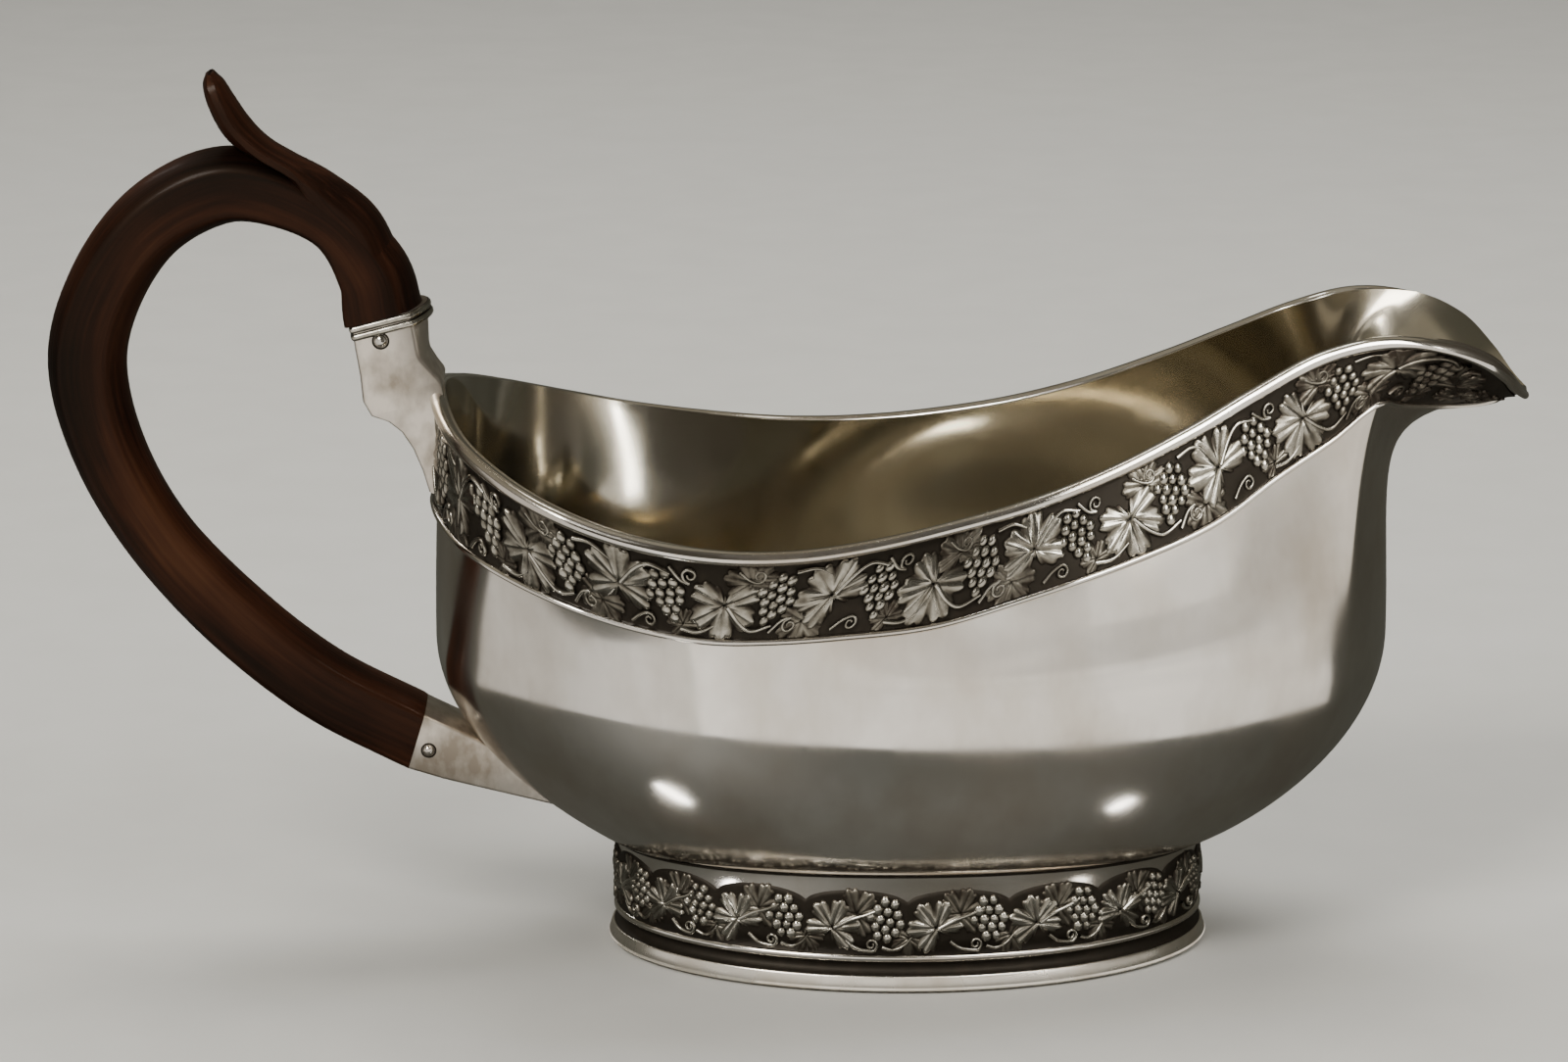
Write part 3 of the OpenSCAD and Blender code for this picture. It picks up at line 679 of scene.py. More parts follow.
NOMINAL_SCALLOP = 13.6  # length of scallop that the places in the foot's vine are drawn for
FOOT_BUNCH = [2, 3, 4, 3, 2]  # grapes in each row
BAND_INSET = 1.5  # of the surface that the foot's vine stands on


def foot_speed(angle):
    """Length of the foot's outline for each radian."""
    return math.hypot(FOOT_HALF_LENGTH * math.sin(angle), FOOT_HALF_WIDTH * math.cos(angle))


def foot_place(middle):
    """The foot's surface about one scallop, whose middle is at that angle round the foot."""

    def place(x, y, h):
        q = middle + x / foot_speed(middle)
        a, b = FOOT_HALF_LENGTH - BAND_INSET + h, FOOT_HALF_WIDTH - BAND_INSET + h
        return np.stack([a * np.cos(q), b * np.sin(q), MOULDING_TOP + y], -1)

    return place


def make_foot_vine(oxidised):
    sheet = Sheet()
    rise = foot_top(ANGLES) - MOULDING_TOP
    # The band's section: shares of its height and insets
    shares = [(0.0, 1.9), (0.0, 1.3), (0.25, 1.25), (0.5, 1.25), (0.75, 1.25), (0.94, 1.25), (1.0, 1.35),
              (1.03, 1.8)]
    sheet.grid(foot_rings([(inset, MOULDING_TOP + rise * share) for share, inset in shares]),
               wrap_rows=True)
    for number in range(SCALLOPS):
        middle = math.radians(SCALLOP_TURN + 360 / SCALLOPS * number)
        band = Band(foot_place(middle), sheet)
        sway = math.sin(2.3 * number)
        wide = foot_speed(middle) * 2 * math.pi / SCALLOPS / NOMINAL_SCALLOP
        small = wide ** 0.4
        band.leaf(3.9 * small, 0.7, 0.2 * wide, 6.6, turn=-30 + 10 * sway)
        band.leaf(2.8 * small, 0.6, 7.0 * wide, 2.8, turn=200 + 20 * sway)
        band.leaf(4.3 * small, 1.0, -3.0 * wide, 4.4, turn=12 + 34 * sway)
        band.bunch(4.1 * wide, 5.6, FOOT_BUNCH, 1.5 * small, 10 * sway, number)
        stalk = [(-2.6 * wide, 4.4), (-0.4 * wide, 5.8), (1.6 * wide, 6.6), (3.4 * wide, 7.6)]
        band.stem(stalk, 0.40, 0.6)
        curl = curl_points(2.2 * wide, 1.7, 1.0, -90, 1.4, 1, lead=[(-1.2 * wide, 2.3), (0.2 * wide, 1.1)])
        band.stem(curl, 0.30, 0.5, 4)
        runner = [(3.6 * wide, 1.3), (5.0 * wide, 0.9), (6.4 * wide, 1.6), (7.4 * wide, 2.9)]
        band.stem(runner, 0.30, 0.45)
    make_piece("foot_vine", sheet, [oxidised], ["foot_vine_band"], VINE_SHARP)


# ---- handle --------------------
# The scroll's centre line in x and z, from the upper socket over the top and down to the lower one,
# with the share of the thickness and the crowns of its outer and inner faces.
SCROLL = [
    [-81.4, 101.6, 1.08, 2.6, 0.4], [-82.9, 108.2, 0.97, 2.6, 0.5], [-88.8, 116, 0.78, 2.5, 0.8],
    [-98.9, 121, 0.94, 2.4, 1.2], [-107.5, 121, 1.03, 2.4, 1.8], [-117.1, 115.3, 1.03, 2.4, 2.6],
    [-124.1, 105.1, 1.04, 2.4, 3.3], [-127.1, 93.5, 1.06, 2.4, 3.4], [-124.2, 79.7, 1, 2.2, 3.2],
    [-116.9, 65.9, 0.95, 2, 2.8], [-105.5, 52.9, 0.98, 1.6, 2.2], [-92.3, 42, 0.96, 1, 1.6],
    [-77.2, 33.9, 0.92, 0.4, 1.2],
]
UPPER_DIR = np.array([-0.25, 0, 0.968])
LOWER_DIR = np.array([0.956, 0, -0.292])
# The spur's centre line in x and z, its thickness and its width
SPUR = [
    [-80.2, 107.8, 5, 11.4], [-83.8, 116.1, 4.5, 12.2], [-89.8, 121.5, 3.8, 12.2], [-95.4, 124.7, 3.5, 12],
    [-99.6, 127.2, 3.9, 11.6], [-102.9, 130.2, 4.7, 11], [-105.1, 133.8, 4.4, 10.2],
    [-106.5, 137.1, 3.4, 8.4], [-107, 138.9, 1.4, 5],
]


def square_to(ahead):
    """The directions in x and z that stand square to the given ones."""
    return np.stack([-ahead[:, 2], 0 * ahead[:, 0], ahead[:, 0]], -1)


def sections(centre, ahead, thick, width, outer_crown, inner_crown, corner):
    """Closed sections square to ahead, in x and z, with crowned faces and rounded corners.

    Every argument but corner has one entry for each section. The outer face comes first."""
    a = np.linspace(0, math.pi / 2, 5)[:-1]
    flat = np.linspace(-1, 1, 11)
    n = len(centre)
    half = np.broadcast_to(width, n)[:, None] / 2
    corner = np.broadcast_to(corner, n)[:, None]
    left = -(half - corner) - corner * np.cos(a)
    y = np.concatenate([left, flat[None] * (half - corner), -left[:, ::-1]], 1)
    rounding = corner * (1 - np.sin(a))
    drop = np.concatenate([rounding, np.zeros((n, len(flat))), rounding[:, ::-1]], 1)
    inwards = square_to(ahead)

    def face(sign, crown):
        crown = np.broadcast_to(crown, n)[:, None]
        d = np.broadcast_to(thick, n)[:, None] / 2 - crown * (y / half) ** 2 - drop
        points = centre[:, None] + sign * d[..., None] * inwards[:, None]
        points[..., 1] += y
        return points

    return np.concatenate([face(-1, outer_crown), face(1, inner_crown)[:, ::-1]], 1)


def path_of(rows, samples):
    """A smooth centre line from rows that begin with x and z: points, directions and the other columns."""
    curve = spline(rows, samples)
    centre = np.stack([curve[:, 0], 0 * curve[:, 0], curve[:, 1]], -1)
    return centre, unit(np.gradient(centre, axis=0)), curve[:, 2:]


def grain_coordinates(rings, start=0.0):
    """Coordinates along, across and through the wood, so that the grain follows the scroll."""
    middle = rings.mean(1)
    length = np.concatenate([[0], np.cumsum(np.linalg.norm(np.diff(middle, axis=0), axis=1))]) + start
    inwards = square_to(unit(np.gradient(middle, axis=0)))
    through = ((rings - middle[:, None]) * inwards[:, None]).sum(-1)
    along = np.broadcast_to(length[:, None], through.shape)
    return np.stack([along, rings[..., 1], through], -1).reshape(-1, 3)


# The spur grows out of the scroll: free as far as one x, and sunk in it by its root from another
SPUR_FREE, SPUR_SUNK, SPUR_ROOT = -96.0, -86.0, 4.0
SPUR_GRAIN = 7.0  # mm by which the spur's grain is shifted against the scroll's
WOOD_CORNER = 0.9
ROOT_CROWN = 2.4  # of the spur's outer face at its root


def make_handle(wood):
    centre, ahead, rest = path_of(SCROLL, 10)
    ahead[0], ahead[-1] = UPPER_DIR, LOWER_DIR
    scroll = sections(centre, ahead, HANDLE_THICK * rest[:, 0], HANDLE_WIDTH, rest[:, 1], rest[:, 2],
                      WOOD_CORNER)
    centre, ahead, rest = path_of(SPUR, 8)
    thick, width = rest[:, 0], rest[:, 1]
    rooted = SPUR_ROOT * ease((centre[:, 0] - SPUR_FREE) / (SPUR_SUNK - SPUR_FREE))
    joined = rooted / SPUR_ROOT
    spur = sections(centre + square_to(ahead) * rooted[:, None] / 2, ahead, thick + rooted,
                    mix(width, HANDLE_WIDTH - 0.06, joined), mix(thick * 0.4, ROOT_CROWN, joined),
                    mix(thick * 0.4, 0, joined), np.minimum(WOOD_CORNER, thick * 0.28))
    sheet = Sheet()
    sheet.loft(scroll)
    sheet.loft(spur)
    grain = np.vstack([grain_coordinates(scroll), grain_coordinates(spur, SPUR_GRAIN)]) * MM
    make_piece("handle_scroll", sheet, [wood], ["handle"], 50, {"grain": grain})


# ---- sockets --------------------
UPPER_JOINT = np.array([-80.5, 0, 101.8])
LOWER_JOINT = np.array([-77.2, 0, 33.9])
UPPER_THICK = 12.2
LOWER_THICK = HANDLE_THICK * 0.92
UPPER_PIN = (-81.6, 98.1)
LOWER_PIN = (-75.4, 32.2)
SOCKET_CROWN, SOCKET_CORNER = 0.4, 0.4
CRISP_GAP = 0.1  # share of the way to the next row
SMOOTH_STEPS = 20  # samples between two rows of a smooth chain


def crisp(rows, smooth=False):
    """Rows with two more close beside each inner one, for crisp corners there or along a smooth curve."""
    rows = np.asarray(rows, float)
    places = [0.0]
    for k in range(1, len(rows) - 1):
        places += [k - CRISP_GAP, k, k + CRISP_GAP]
    places.append(len(rows) - 1.0)
    if smooth:
        rows = spline(rows, SMOOTH_STEPS)
        places = np.array(places) * SMOOTH_STEPS
    return np.stack([np.interp(places, np.arange(len(rows)), column) for column in rows.T], -1)


def between_chains(near, far):
    """Sections between two chains of x and z, the far one with its crown as well."""
    near, far = crisp(near), crisp(far, smooth=True)
    a = np.stack([near[:, 0], 0 * near[:, 0], near[:, 1]], -1)
    b = np.stack([far[:, 0], 0 * far[:, 0], far[:, 1]], -1)
    inwards = unit(b - a)
    ahead = np.stack([inwards[:, 2], 0 * near[:, 0], -inwards[:, 0]], -1)
    thick = np.linalg.norm(b - a, axis=1)
    return sections((a + b) / 2, ahead, thick, SOCKET_WIDTH, SOCKET_CROWN, far[:, 2], SOCKET_CORNER)


# The table of back_wall: its heights, its half width and how many places it has for each mm across
WALL_HEIGHTS = np.linspace(18.2, 89.0, 120)
TABLE_HALF, TABLE_PER_MM = 8, 2


def back_wall(y, z):
    """x of the bowl's wall behind the handle, sunk by half its thickness, at each y and z."""
    reach = 5 * PER_SPAN
    across = np.linspace(-TABLE_HALF, TABLE_HALF, 2 * TABLE_HALF * TABLE_PER_MM + 1)
    table = []
    for height in WALL_HEIGHTS:
        ys, xs = [], []
        for column in SKIN[REAR - reach:REAR + reach + 1]:
            order = np.argsort(column[:, 2])
            ys.append(np.interp(height, column[order, 2], column[order, 1]))
            xs.append(np.interp(height, column[order, 2], column[order, 0]))
        order = np.argsort(ys)
        table.append(np.interp(across, np.array(ys)[order], np.array(xs)[order]))
    table = np.array(table)
    row = (z - WALL_HEIGHTS[0]) / (WALL_HEIGHTS[1] - WALL_HEIGHTS[0])
    row = np.clip(row, 0, len(WALL_HEIGHTS) - 1.001)
    column = np.clip((y + TABLE_HALF) * TABLE_PER_MM, 0, len(across) - 1.001)
    i, j = np.floor(row).astype(int), np.floor(column).astype(int)
    fi, fj = row - i, column - j
    low = mix(table[i, j], table[i, j + 1], fj)
    high = mix(table[i + 1, j], table[i + 1, j + 1], fj)
    return mix(low, high, fi) + WALL / 2


CUT_BELOW = 89.4  # height of the rim at the back; the bracket is cut back to the wall below it


def make_upper_socket(silver):
    half = np.array([UPPER_DIR[2], 0, -UPPER_DIR[0]]) * UPPER_THICK / 2
    hand_top, bowl_top = UPPER_JOINT - half, UPPER_JOINT + half
    hand_side = [[hand_top[0], hand_top[2]], [-85.1, 92], [-84.8, 88.3], [-83.6, 86.1], [-81, 85.2],
                 [-79, 83.6], [-77.3, 81], [-75.9, 77.6], [-74.9, 74.2]]
    bowl_side = [[bowl_top[0], bowl_top[2], 2.6], [-74.3, 96, 1.6], [-72.2, 92, 0.6], [-70.6, 89, 0.2],
                 [-70.2, 86.5, 0], [-70.2, 83.5, 0], [-70.5, 80, 0], [-71, 76.5, 0], [-72, 73.2, 0]]
    rings = between_chains(hand_side, bowl_side)
    limit = back_wall(rings[..., 1], rings[..., 2])
    cut = np.minimum(rings[..., 0], limit)
    rings[..., 0] = np.where(rings[..., 2] < CUT_BELOW, cut, rings[..., 0])
    sheet = Sheet()
    sheet.loft(rings)
    make_piece("upper_socket_bracket", sheet, [silver], ["upper_socket"], 35)


def make_reeds(oxidised):
    """Two reeds round the socket's mouth, tarnished between them."""
    sheet = Sheet()
    # Where each reed starts below the mouth, and how far it stands out
    for start, rise in [(0.05, 0.4), (1.25, 0.45)]:
        a = np.linspace(0, math.pi, 9)
        down_by = start + 0.55 - 0.55 * np.cos(a)
        out_by = 0.05 + rise * np.sin(a)
        centre = UPPER_JOINT - UPPER_DIR * down_by[::-1, None]
        grown = 2 * out_by[::-1]
        ahead = np.broadcast_to(UPPER_DIR, centre.shape)
        rings = sections(centre, ahead, UPPER_THICK + grown, SOCKET_WIDTH + grown, 2.6, 0.4, 0.5)
        sheet.loft(rings, relief=(0.12 + 0.75 * np.sin(a))[:, None])
    make_piece("upper_socket_ring", sheet, [oxidised], ["upper_socket_reeds"], 50)


def make_lower_socket(silver):
    half = np.array([LOWER_DIR[2], 0, -LOWER_DIR[0]]) * LOWER_THICK / 2
    low, top = LOWER_JOINT + half, LOWER_JOINT - half
    under_side = [[low[0], low[2]], [-73.3, 27.1], [-64.4, 24.8], [-54, 22.2], [-46, 20.2]]
    upper_side = [[top[0], top[2], 1.2], [-70, 36, 1], [-62, 31.6, 0.8], [-52, 26, 0.4], [-44, 22, 0.2]]
    rings = between_chains(under_side, upper_side)
    # Three more sections between each two, so that the wedge follows the bowl's wall
    t = np.linspace(0, 1, 5)[None, :-1, None, None]
    rings = mix(rings[:-1, None], rings[1:, None], t).reshape(-1, rings.shape[1], 3)
    rings[..., 0] = np.minimum(rings[..., 0], back_wall(rings[..., 1], rings[..., 2]))
    sheet = Sheet()
    sheet.loft(rings)
    make_piece("lower_socket_wedge", sheet, [silver], ["lower_socket"], 35)


# A pin's head: shares of its radius, outwards from its axis and out of the socket
PIN_DOME = [(0.02, 0.62), (0.35, 0.58), (0.62, 0.44), (0.84, 0.25), (0.95, 0.1), (1.0, -0.1)]
PIN_SIDES = 24
SHADE_RING_REACH = 1.3  # of the dark ring of painted shade, as a share of the pin's radius


def make_pin(name, place, radius, node, silver, oxidised):
    """A round pin whose domed ends show on both sides, each in a flat dark ring of painted shade for the
    recess round it.
    """
    sheet = Sheet()
    a = circle(PIN_SIDES)
    half = SOCKET_WIDTH / 2
    rings = [(share * radius, half + lift * radius) for share, lift in PIN_DOME]
    rings += [(r, -h) for r, h in rings[::-1]]

    def turned(profile):
        return np.array([[[place[0] + r * math.cos(v), h, place[1] + r * math.sin(v)] for v in a]
                         for r, h in profile])

    sheet.loft(turned(rings))
    for side in (-1, 1):
        # A flat dark ring round each head: painted shade of the recess round the pin.
        seam = [(radius, side * (half + 0.02)), (radius * SHADE_RING_REACH, side * (half + 0.012))]
        sheet.grid(turned(seam), slot=1, wrap_cols=True)
    make_piece(name, sheet, [silver, oxidised], [node], 50)


# ---- materials --------------------
class Nodes:
    """A material's node tree, with short ways to add and join nodes."""

    def __init__(self, name):
        self.material = bpy.data.materials.new(name)
        self.material.use_nodes = True
        self.tree = self.material.node_tree
        self.shader = self.tree.nodes["Principled BSDF"]

    def add(self, kind, inputs=None, **settings):
        node = self.tree.nodes.new(kind)
        for key, value in settings.items():
            setattr(node, key, value)
        for key, value in (inputs or {}).items():
            self.feed(node.inputs[key], value)
            self.feed(node.inputs[key], value)
        return node

    def shade(self, inputs):
        """Gives the shader's own sockets their values or links."""
        for key, value in inputs.items():
            self.feed(self.shader.inputs[key], value)

    def feed(self, socket, value):
        if isinstance(value, bpy.types.NodeSocket):
            self.tree.links.new(value, socket)
        else:
            socket.default_value = value

    def noise(self, vector, scale, detail, stretch=(1, 1, 1)):
        mapping = self.add("ShaderNodeMapping", {"Vector": vector, "Scale": stretch})
        inputs = {"Vector": mapping.outputs[0], "Scale": scale, "Detail": detail}
        return self.add("ShaderNodeTexNoise", inputs).outputs["Fac"]

    def ramp(self, factor, stops):
        node = self.add("ShaderNodeValToRGB", {"Fac": factor})
        node.color_ramp.elements[0].position, node.color_ramp.elements[0].color = stops[0]
        node.color_ramp.elements[1].position, node.color_ramp.elements[1].color = stops[-1]
        for position, colour in stops[1:-1]:
            node.color_ramp.elements.new(position).color = colour
        return node.outputs["Color"]

    def range(self, value, low, high, to_low, to_high):
        node = self.add("ShaderNodeMapRange", {"Value": value, "From Min": low, "From Max": high,
                                               "To Min": to_low, "To Max": to_high})
        return node.outputs["Result"]

    def maths(self, operation, a, b):
        node = self.add("ShaderNodeMath", operation=operation)
        self.feed(node.inputs[0], a)
        self.feed(node.inputs[1], b)
        return node.outputs[0]

    def bump(self, height, strength, distance, normal=None):
        inputs = {"Height": height, "Strength": strength, "Distance": distance}
        if normal is not None:
            inputs["Normal"] = normal
        return self.add("ShaderNodeBump", inputs).outputs["Normal"]

    def coordinates(self):
        return self.add("ShaderNodeTexCoord").outputs["Object"]

    def attribute(self, name, output):
        return self.add("ShaderNodeAttribute", attribute_name=name).outputs[output]


def silver_material(name, bright, tarnish, roughness, cloud_scale=28, grit=0.05):
    """Hand-polished silver: slow waves left by planishing, fine scratches, smudges and a little tarnish."""
    n = Nodes(name)
    place = n.coordinates()
    cloud = n.noise(place, cloud_scale, 5)
    smudge = n.noise(place, cloud_scale * 4, 4, (1, 1, 0.5))
    film = n.range(n.maths("ADD", cloud, n.maths("MULTIPLY", smudge, 0.5)), 0.62, 0.95, 0.0, 1.0)
    scratches = n.noise(place, 3000, 2, (0.04, 1, 1))
    scratches_across = n.noise(place, 2600, 2, (1, 1, 0.05))
    wear = n.maths("MULTIPLY", scratches, scratches_across)
    dull = n.maths("ADD", n.maths("MULTIPLY", wear, 0.4), film)
    waves = n.bump(n.noise(place, 18, 2), 0.45, 0.0012)
    n.shade({
        "Base Color": n.ramp(film, [(0.0, bright), (1.0, tarnish)]),
        "Metallic": 1.0,
        "Roughness": n.range(dull, 0.1, 1.1, roughness, roughness + 0.14),
        "Normal": n.bump(wear, grit, 0.00002, waves),
    })
    return n.material


def oxidised_material():
    """Cast silver relief: black in the recesses, rubbed bright on what stands up."""
    n = Nodes("oxidised_silver")
    grime = n.noise(n.coordinates(), 420, 5)
    high = n.maths("ADD", n.attribute("relief", "Fac"), n.range(grime, 0.3, 0.7, -0.16, 0.16))
    colour = n.ramp(high, [(0.0, (0.020, 0.016, 0.011, 1)), (0.26, (0.033, 0.026, 0.019, 1)),
                           (0.50, (0.17, 0.155, 0.125, 1)), (0.70, (0.36, 0.34, 0.29, 1)),
                           (0.95, (0.66, 0.63, 0.56, 1))])
    n.shade({
        "Base Color": colour,
        "Metallic": n.range(high, 0.05, 0.45, 0.55, 1.0),
        "Roughness": n.range(high, 0.15, 0.85, 0.5, 0.14),
        "Specular IOR Level": 0.22,
        "Normal": n.bump(grime, 0.5, 0.00012),
    })
    return n.material


def wood_material():
    """Dark fruitwood, its grain along the scroll, polished by hands with a thin worn varnish."""
    n = Nodes("handle_wood")
    grain_place = n.attribute("grain", "Vector")
    figure = n.noise(grain_place, 150, 6, (0.09, 1, 1))
    fibres = n.noise(grain_place, 1500, 4, (0.03, 1, 1))
    worn = n.noise(n.coordinates(), 38, 4)
    tone = n.maths("ADD", n.maths("MULTIPLY", figure, 0.75), n.maths("MULTIPLY", fibres, 0.3))
    patches = n.noise(n.coordinates(), 34, 3)
    tone = n.maths("ADD", tone, n.range(patches, 0.3, 0.7, -0.10, 0.08))
    handled = n.maths("ADD", worn, n.maths("MULTIPLY", fibres, 0.35))
    colour = n.ramp(tone, [(0.34, (0.002, 0.0008, 0.0005, 1)), (0.46, (0.0075, 0.0023, 0.0011, 1)),
                           (0.58, (0.021, 0.0062, 0.0026, 1)), (0.76, (0.046, 0.0165, 0.0066, 1))])
    n.shade({
        "Base Color": colour,
        "Roughness": n.range(handled, 0.4, 0.95, 0.34, 0.6),
        "Normal": n.bump(fibres, 0.35, 0.0002, n.bump(worn, 0.3, 0.0006)),
        "Coat Weight": 0.06,
        "Coat Roughness": 0.2,
        "Specular IOR Level": 0.14,
        "Specular Tint": (1.0, 0.72, 0.52, 1),
    })
    return n.material


# ---- stage --------------------
def card(name, corners, material, is_floor=False):
    """A flat polygon of the stage, in metres. All but the floor show in reflections only."""
    mesh = bpy.data.meshes.new(name)
    mesh.from_pydata(corners, [], [list(range(len(corners)))])
    mesh.materials.append(material)
    piece = new_object(name, mesh)
    piece.visible_camera = is_floor
    piece.visible_shadow = is_floor
    piece.visible_diffuse = is_floor


def flat(outline, z):
    return [(x, y, z) for x, y in outline]


def upright(start, end, low, high):
    """Corners of a wall over the line between two places of the floor."""
    return [(*start, low), (*end, low), (*end, high), (*start, high)]


OVAL_POINTS = 48


def oval(x, y, half_x, half_y, turn):
    a = circle(OVAL_POINTS)
    c, s = math.cos(math.radians(turn)), math.sin(math.radians(turn))
    px, py = half_x * np.cos(a), half_y * np.sin(a)
    return list(zip((x + px * c - py * s).tolist(), (y + px * s + py * c).tolist()))


def facing(place, target, half_width, half_height):
    """Corners of a rectangle at a place, square to the line towards the target."""
    ahead = (Vector(target) - Vector(place)).normalized()
    side = ahead.cross(Vector((0, 0, 1))).normalized() * half_width
    up = side.cross(ahead).normalized() * half_height
    centre = Vector(place)
    return [tuple(centre + side * a + up * b) for a, b in [(-1, -1), (1, -1), (1, 1), (-1, 1)]]


def glow(name, colour, strength, strength_right=None, cloud=0.0):
    """A card's light, clouded, and changing from the middle of the stage to one metre right of it."""
    n = Nodes(name)
    place = n.coordinates()
    across = n.add("ShaderNodeSeparateXYZ", {"Vector": place}).outputs["X"]
    level = n.range(across, 0.0, 1.0, strength, strength_right or strength)
    clouds = n.range(n.noise(place, 4, 4), 0.3, 0.7, 1 - cloud, 1 + cloud)
    n.shade({
        "Base Color": (0, 0, 0, 1),
        "Emission Color": colour,
        "Emission Strength": n.maths("MULTIPLY", level, clouds),
    })
    return n.material


def matt(name, colour, roughness):
    n = Nodes(name)
    speckle = n.noise(n.coordinates(), 60, 3)
    darker = tuple(c * 0.96 for c in colour[:3]) + (1,)
    n.shade({
        "Base Color": n.ramp(speckle, [(0.3, darker), (0.7, colour)]),
        "Roughness": roughness,
        "Specular IOR Level": 0.0,
    })
    return n.material


# Everything below is in metres.
FLOOR_REACH = 3.0
SWEEP_REACH = 1.2  # how far off the bright sweep stands
SWEEP_HEIGHT = 0.6
SIDE_HEIGHT = 0.2
SWEEP_SPLIT = (-0.62, -SWEEP_REACH)  # where its dim left part meets the bright right part
SPLIT_START = (-0.045, -0.058)
# Heights of the flat layers: each lies just over the one before
FLOOR_LEVEL, CARD_LEVEL, TABLE_LEVEL, SPARK_LEVEL = -0.0004, 0.0003, 0.0006, 0.0009
CEILING_LEVEL = 1.2
# A shade just in front of the rim, its lower edge level with it, keeps the sweep out of the bowl's
# inside.
FLAG_PLACE = -0.062
FLAG_OUTLINE = [(-0.075, 0.080), (-0.045, 0.0725), (0.005, 0.0725), (0.035, 0.080), (0.035, 0.2),
                (-0.075, 0.2)]


def make_floor():
    r = FLOOR_REACH
    pale = matt("pale_floor", (0.52, 0.515, 0.49, 1), 0.55)
    card("floor", flat([(-r, -r), (r, -r), (r, r), (-r, r)], FLOOR_LEVEL), pale, is_floor=True)


def make_reflections():
    """Cards that only the silver mirrors: a bright sweep in front, and the dark table about the boat."""
    bright = glow("bright_sweep", (1.0, 0.95, 0.87, 1), 1.03, 0.72, 0.15)
    dim = glow("dim_sweep", (1.0, 0.95, 0.87, 1), 0.69, None, 0.15)
    dark = glow("dark_table", (0.95, 0.93, 0.76, 1), 0.066, 0.04, 0.16)
    shade = glow("shade", (1.0, 0.86, 0.62, 1), 0.045, None, 0.3)
    ceiling = glow("ceiling", (1.0, 0.91, 0.70, 1), 0.24, None, 0.35)
    spark = glow("spark", (1.0, 0.98, 0.94, 1), 14)
    r, h, side_h = SWEEP_REACH, SWEEP_HEIGHT, SIDE_HEIGHT
    back, far = 0.015, -0.2  # y of the sweep's edge beside the boat and at its right end
    gap = 0.004  # between the sweep's two parts at the boat, eightfold at the far end
    middle = (0, 0, 0.07)
    right = [SPLIT_START, SWEEP_SPLIT, (r, -r), (r, far), (0, back)]
    left = [(SPLIT_START[0] - gap, SPLIT_START[1]), (-0.045, back), (-r, back), (-r, -r),
            (SWEEP_SPLIT[0] - 8 * gap, -r)]
    ceiling_outline = [(-1.8, -0.5), (0.1, -0.5), (0.1, 0), (0.6, 0.1), (0.6, 1.3), (-1.8, 1.3)]
    side = [(r, -r, 0), (r, far, 0), (r, far, side_h), (r, -r / 2, side_h), (r, -r, h)]
    behind = [(-r, back), (0, back), (r, far), (r, r), (-r, r)]
    cards = [
        ("card_right", flat(right, CARD_LEVEL), bright),
        ("card_left", flat(left, CARD_LEVEL), dim),
        ("wall_front_right", upright(SWEEP_SPLIT, (r, -r), 0, h), bright),
        ("wall_right", side, bright),
        ("wall_front_left", upright((-r, -r), SWEEP_SPLIT, 0, h), dim),
        ("wall_left", upright((-r, -r), (-r, back), 0, h), dim),
        ("flag_front", [(x, FLAG_PLACE, z) for x, z in FLAG_OUTLINE], shade),
        ("flag_right", upright((0.115, -0.055), (0.115, 0.04), 0.088, 0.2), shade),
        ("card_ceiling", flat(ceiling_outline, CEILING_LEVEL), ceiling),
        ("card_table", flat(oval(-0.01, 0.004, 0.145, 0.101, 5), TABLE_LEVEL), dark),
        ("card_behind", flat(behind, CARD_LEVEL), dark),
        ("spark_left", flat(oval(-0.051, -0.038, 0.0055, 0.0016, 20), SPARK_LEVEL), spark),
        ("spark_right", flat(oval(0.046, -0.039, 0.0035, 0.0012, -15), SPARK_LEVEL), spark),
        ("window_right", facing((0.57, -0.69, 0.40), middle, 0.035, 0.13), spark),
        ("window_back", facing((-0.55, 0.62, 0.62), middle, 0.02, 0.10), spark),
        ("screen_right", upright((0.07, -0.12), (0.16, -0.12), 0.082, 0.112), bright),
        ("lamp_lip", upright((0.035, -0.134), (0.11, -0.134), 0.128, 0.3), spark),
        ("lamp_above", facing((-0.12, 0.18, 1.0), middle, 0.06, 0.03), spark),
    ]
    for name, corners, material in cards:
        card(name, corners, material)


def area_light(name, place, target, size, power, colour, mirrored=True):
    light = bpy.data.lights.new(name, "AREA")
    light.shape = "RECTANGLE"
    light.size, light.size_y = size
    light.energy = power
    light.color = colour
    lamp = new_object(name, light)
    lamp.location = place
    lamp.rotation_euler = (Vector(target) - Vector(place)).to_track_quat("-Z", "Y").to_euler()
    lamp.visible_glossy = mirrored


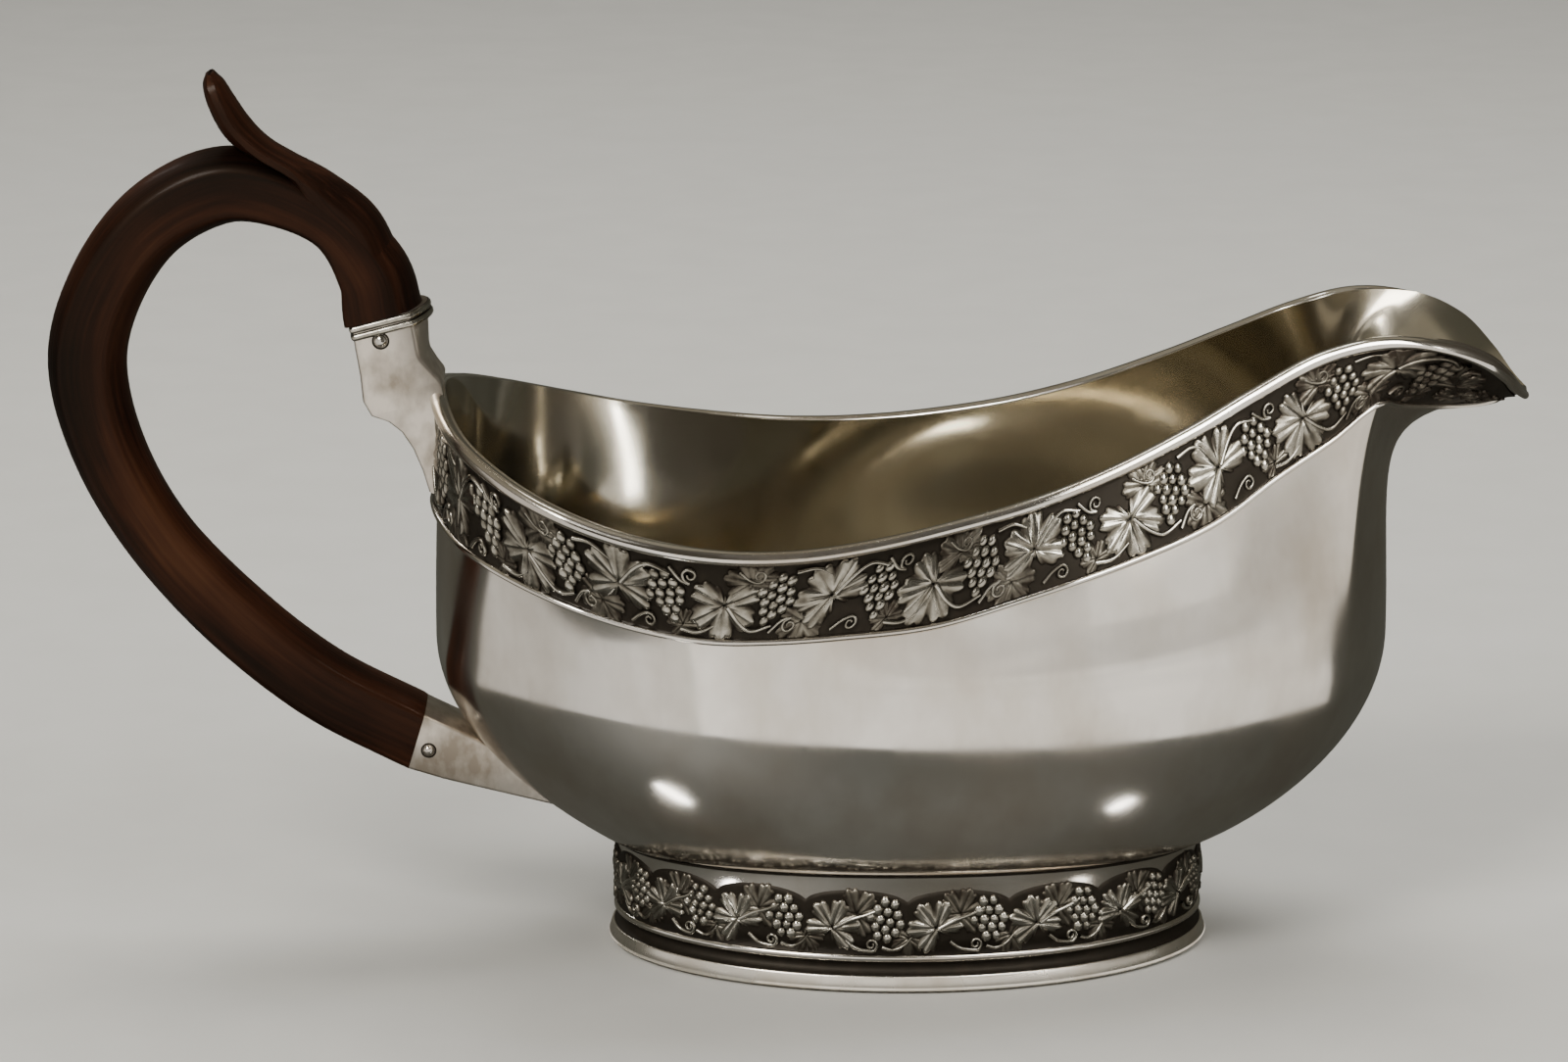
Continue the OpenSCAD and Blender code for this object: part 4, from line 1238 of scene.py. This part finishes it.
def make_lights():
    middle = (-0.02, 0, 0.06)
    cream = (1.0, 0.97, 0.92)
    area_light("key_softbox", (-0.55, -0.75, 0.85), middle, (0.4, 0.4), 12, cream)
    area_light("fill_softbox", (0.75, -0.55, 0.75), middle, (0.6, 0.6), 6, (1.0, 0.98, 0.95),
               mirrored=False)
    area_light("top_softbox", (0.05, 0.35, 1.1), middle, (0.9, 0.7), 14, (1.0, 0.98, 0.94),
               mirrored=False)
    world = bpy.data.worlds.new("studio")
    world.use_nodes = True
    background = world.node_tree.nodes["Background"]
    background.inputs["Color"].default_value = (0.085, 0.083, 0.066, 1)
    background.inputs["Strength"].default_value = 1.0
    bpy.context.scene.world = world


AZIMUTH, ELEVATION = -1.5, 15.5  # in degrees
DISTANCE = 0.85
LENS, SENSOR = 125.0, 36  # in mm
TARGET = (-19.63 * MM, 0, 65.81 * MM)


def make_camera():
    """A long lens from a little above the rim, turned slightly towards the handle."""
    azimuth, elevation = math.radians(AZIMUTH), math.radians(ELEVATION)
    level = math.cos(elevation)
    back = Vector((math.sin(azimuth) * level, -math.cos(azimuth) * level, math.sin(elevation)))
    data = bpy.data.cameras.new("photo_camera")
    data.sensor_width = SENSOR
    data.lens = LENS
    data.clip_start = 0.01
    camera = new_object("photo_camera", data)
    camera.location = Vector(TARGET) + back * DISTANCE
    camera.rotation_euler = (-back).to_track_quat("-Z", "Y").to_euler()
    bpy.context.scene.camera = camera


# ---- everything --------------------
make_camera()
polished = silver_material("polished_silver", (0.87, 0.84, 0.79, 1), (0.62, 0.56, 0.48, 1), 0.09)
# The bowl's inside gets a darker, warmer copy of the silver than the outside: painted shade of the inside.
shaded_inside = silver_material("inside_silver", (0.70, 0.66, 0.56, 1), (0.50, 0.44, 0.33, 1), 0.09,
                              cloud_scale=34, grit=0.02)
socket_silver = silver_material("socket_silver", (0.78, 0.72, 0.64, 1), (0.36, 0.31, 0.25, 1), 0.3,
                                cloud_scale=120)
foot_silver = silver_material("foot_silver", (0.84, 0.80, 0.72, 1), (0.66, 0.60, 0.51, 1), 0.24,
                              cloud_scale=60)
oxidised = oxidised_material()
wood = wood_material()

make_bowl(polished, shaded_inside)
make_rim_wires(polished)
make_rim_vines(oxidised)
make_foot(polished, foot_silver, oxidised)
make_handle(wood)
make_upper_socket(socket_silver)
make_reeds(oxidised)
make_lower_socket(socket_silver)
make_pin("upper_pin_domed", UPPER_PIN, 1.05, "upper_pin", polished, oxidised)
make_pin("lower_pin_domed", LOWER_PIN, 0.95, "lower_pin", polished, oxidised)

make_floor()
make_reflections()
make_lights()

bpy.context.view_layer.update()
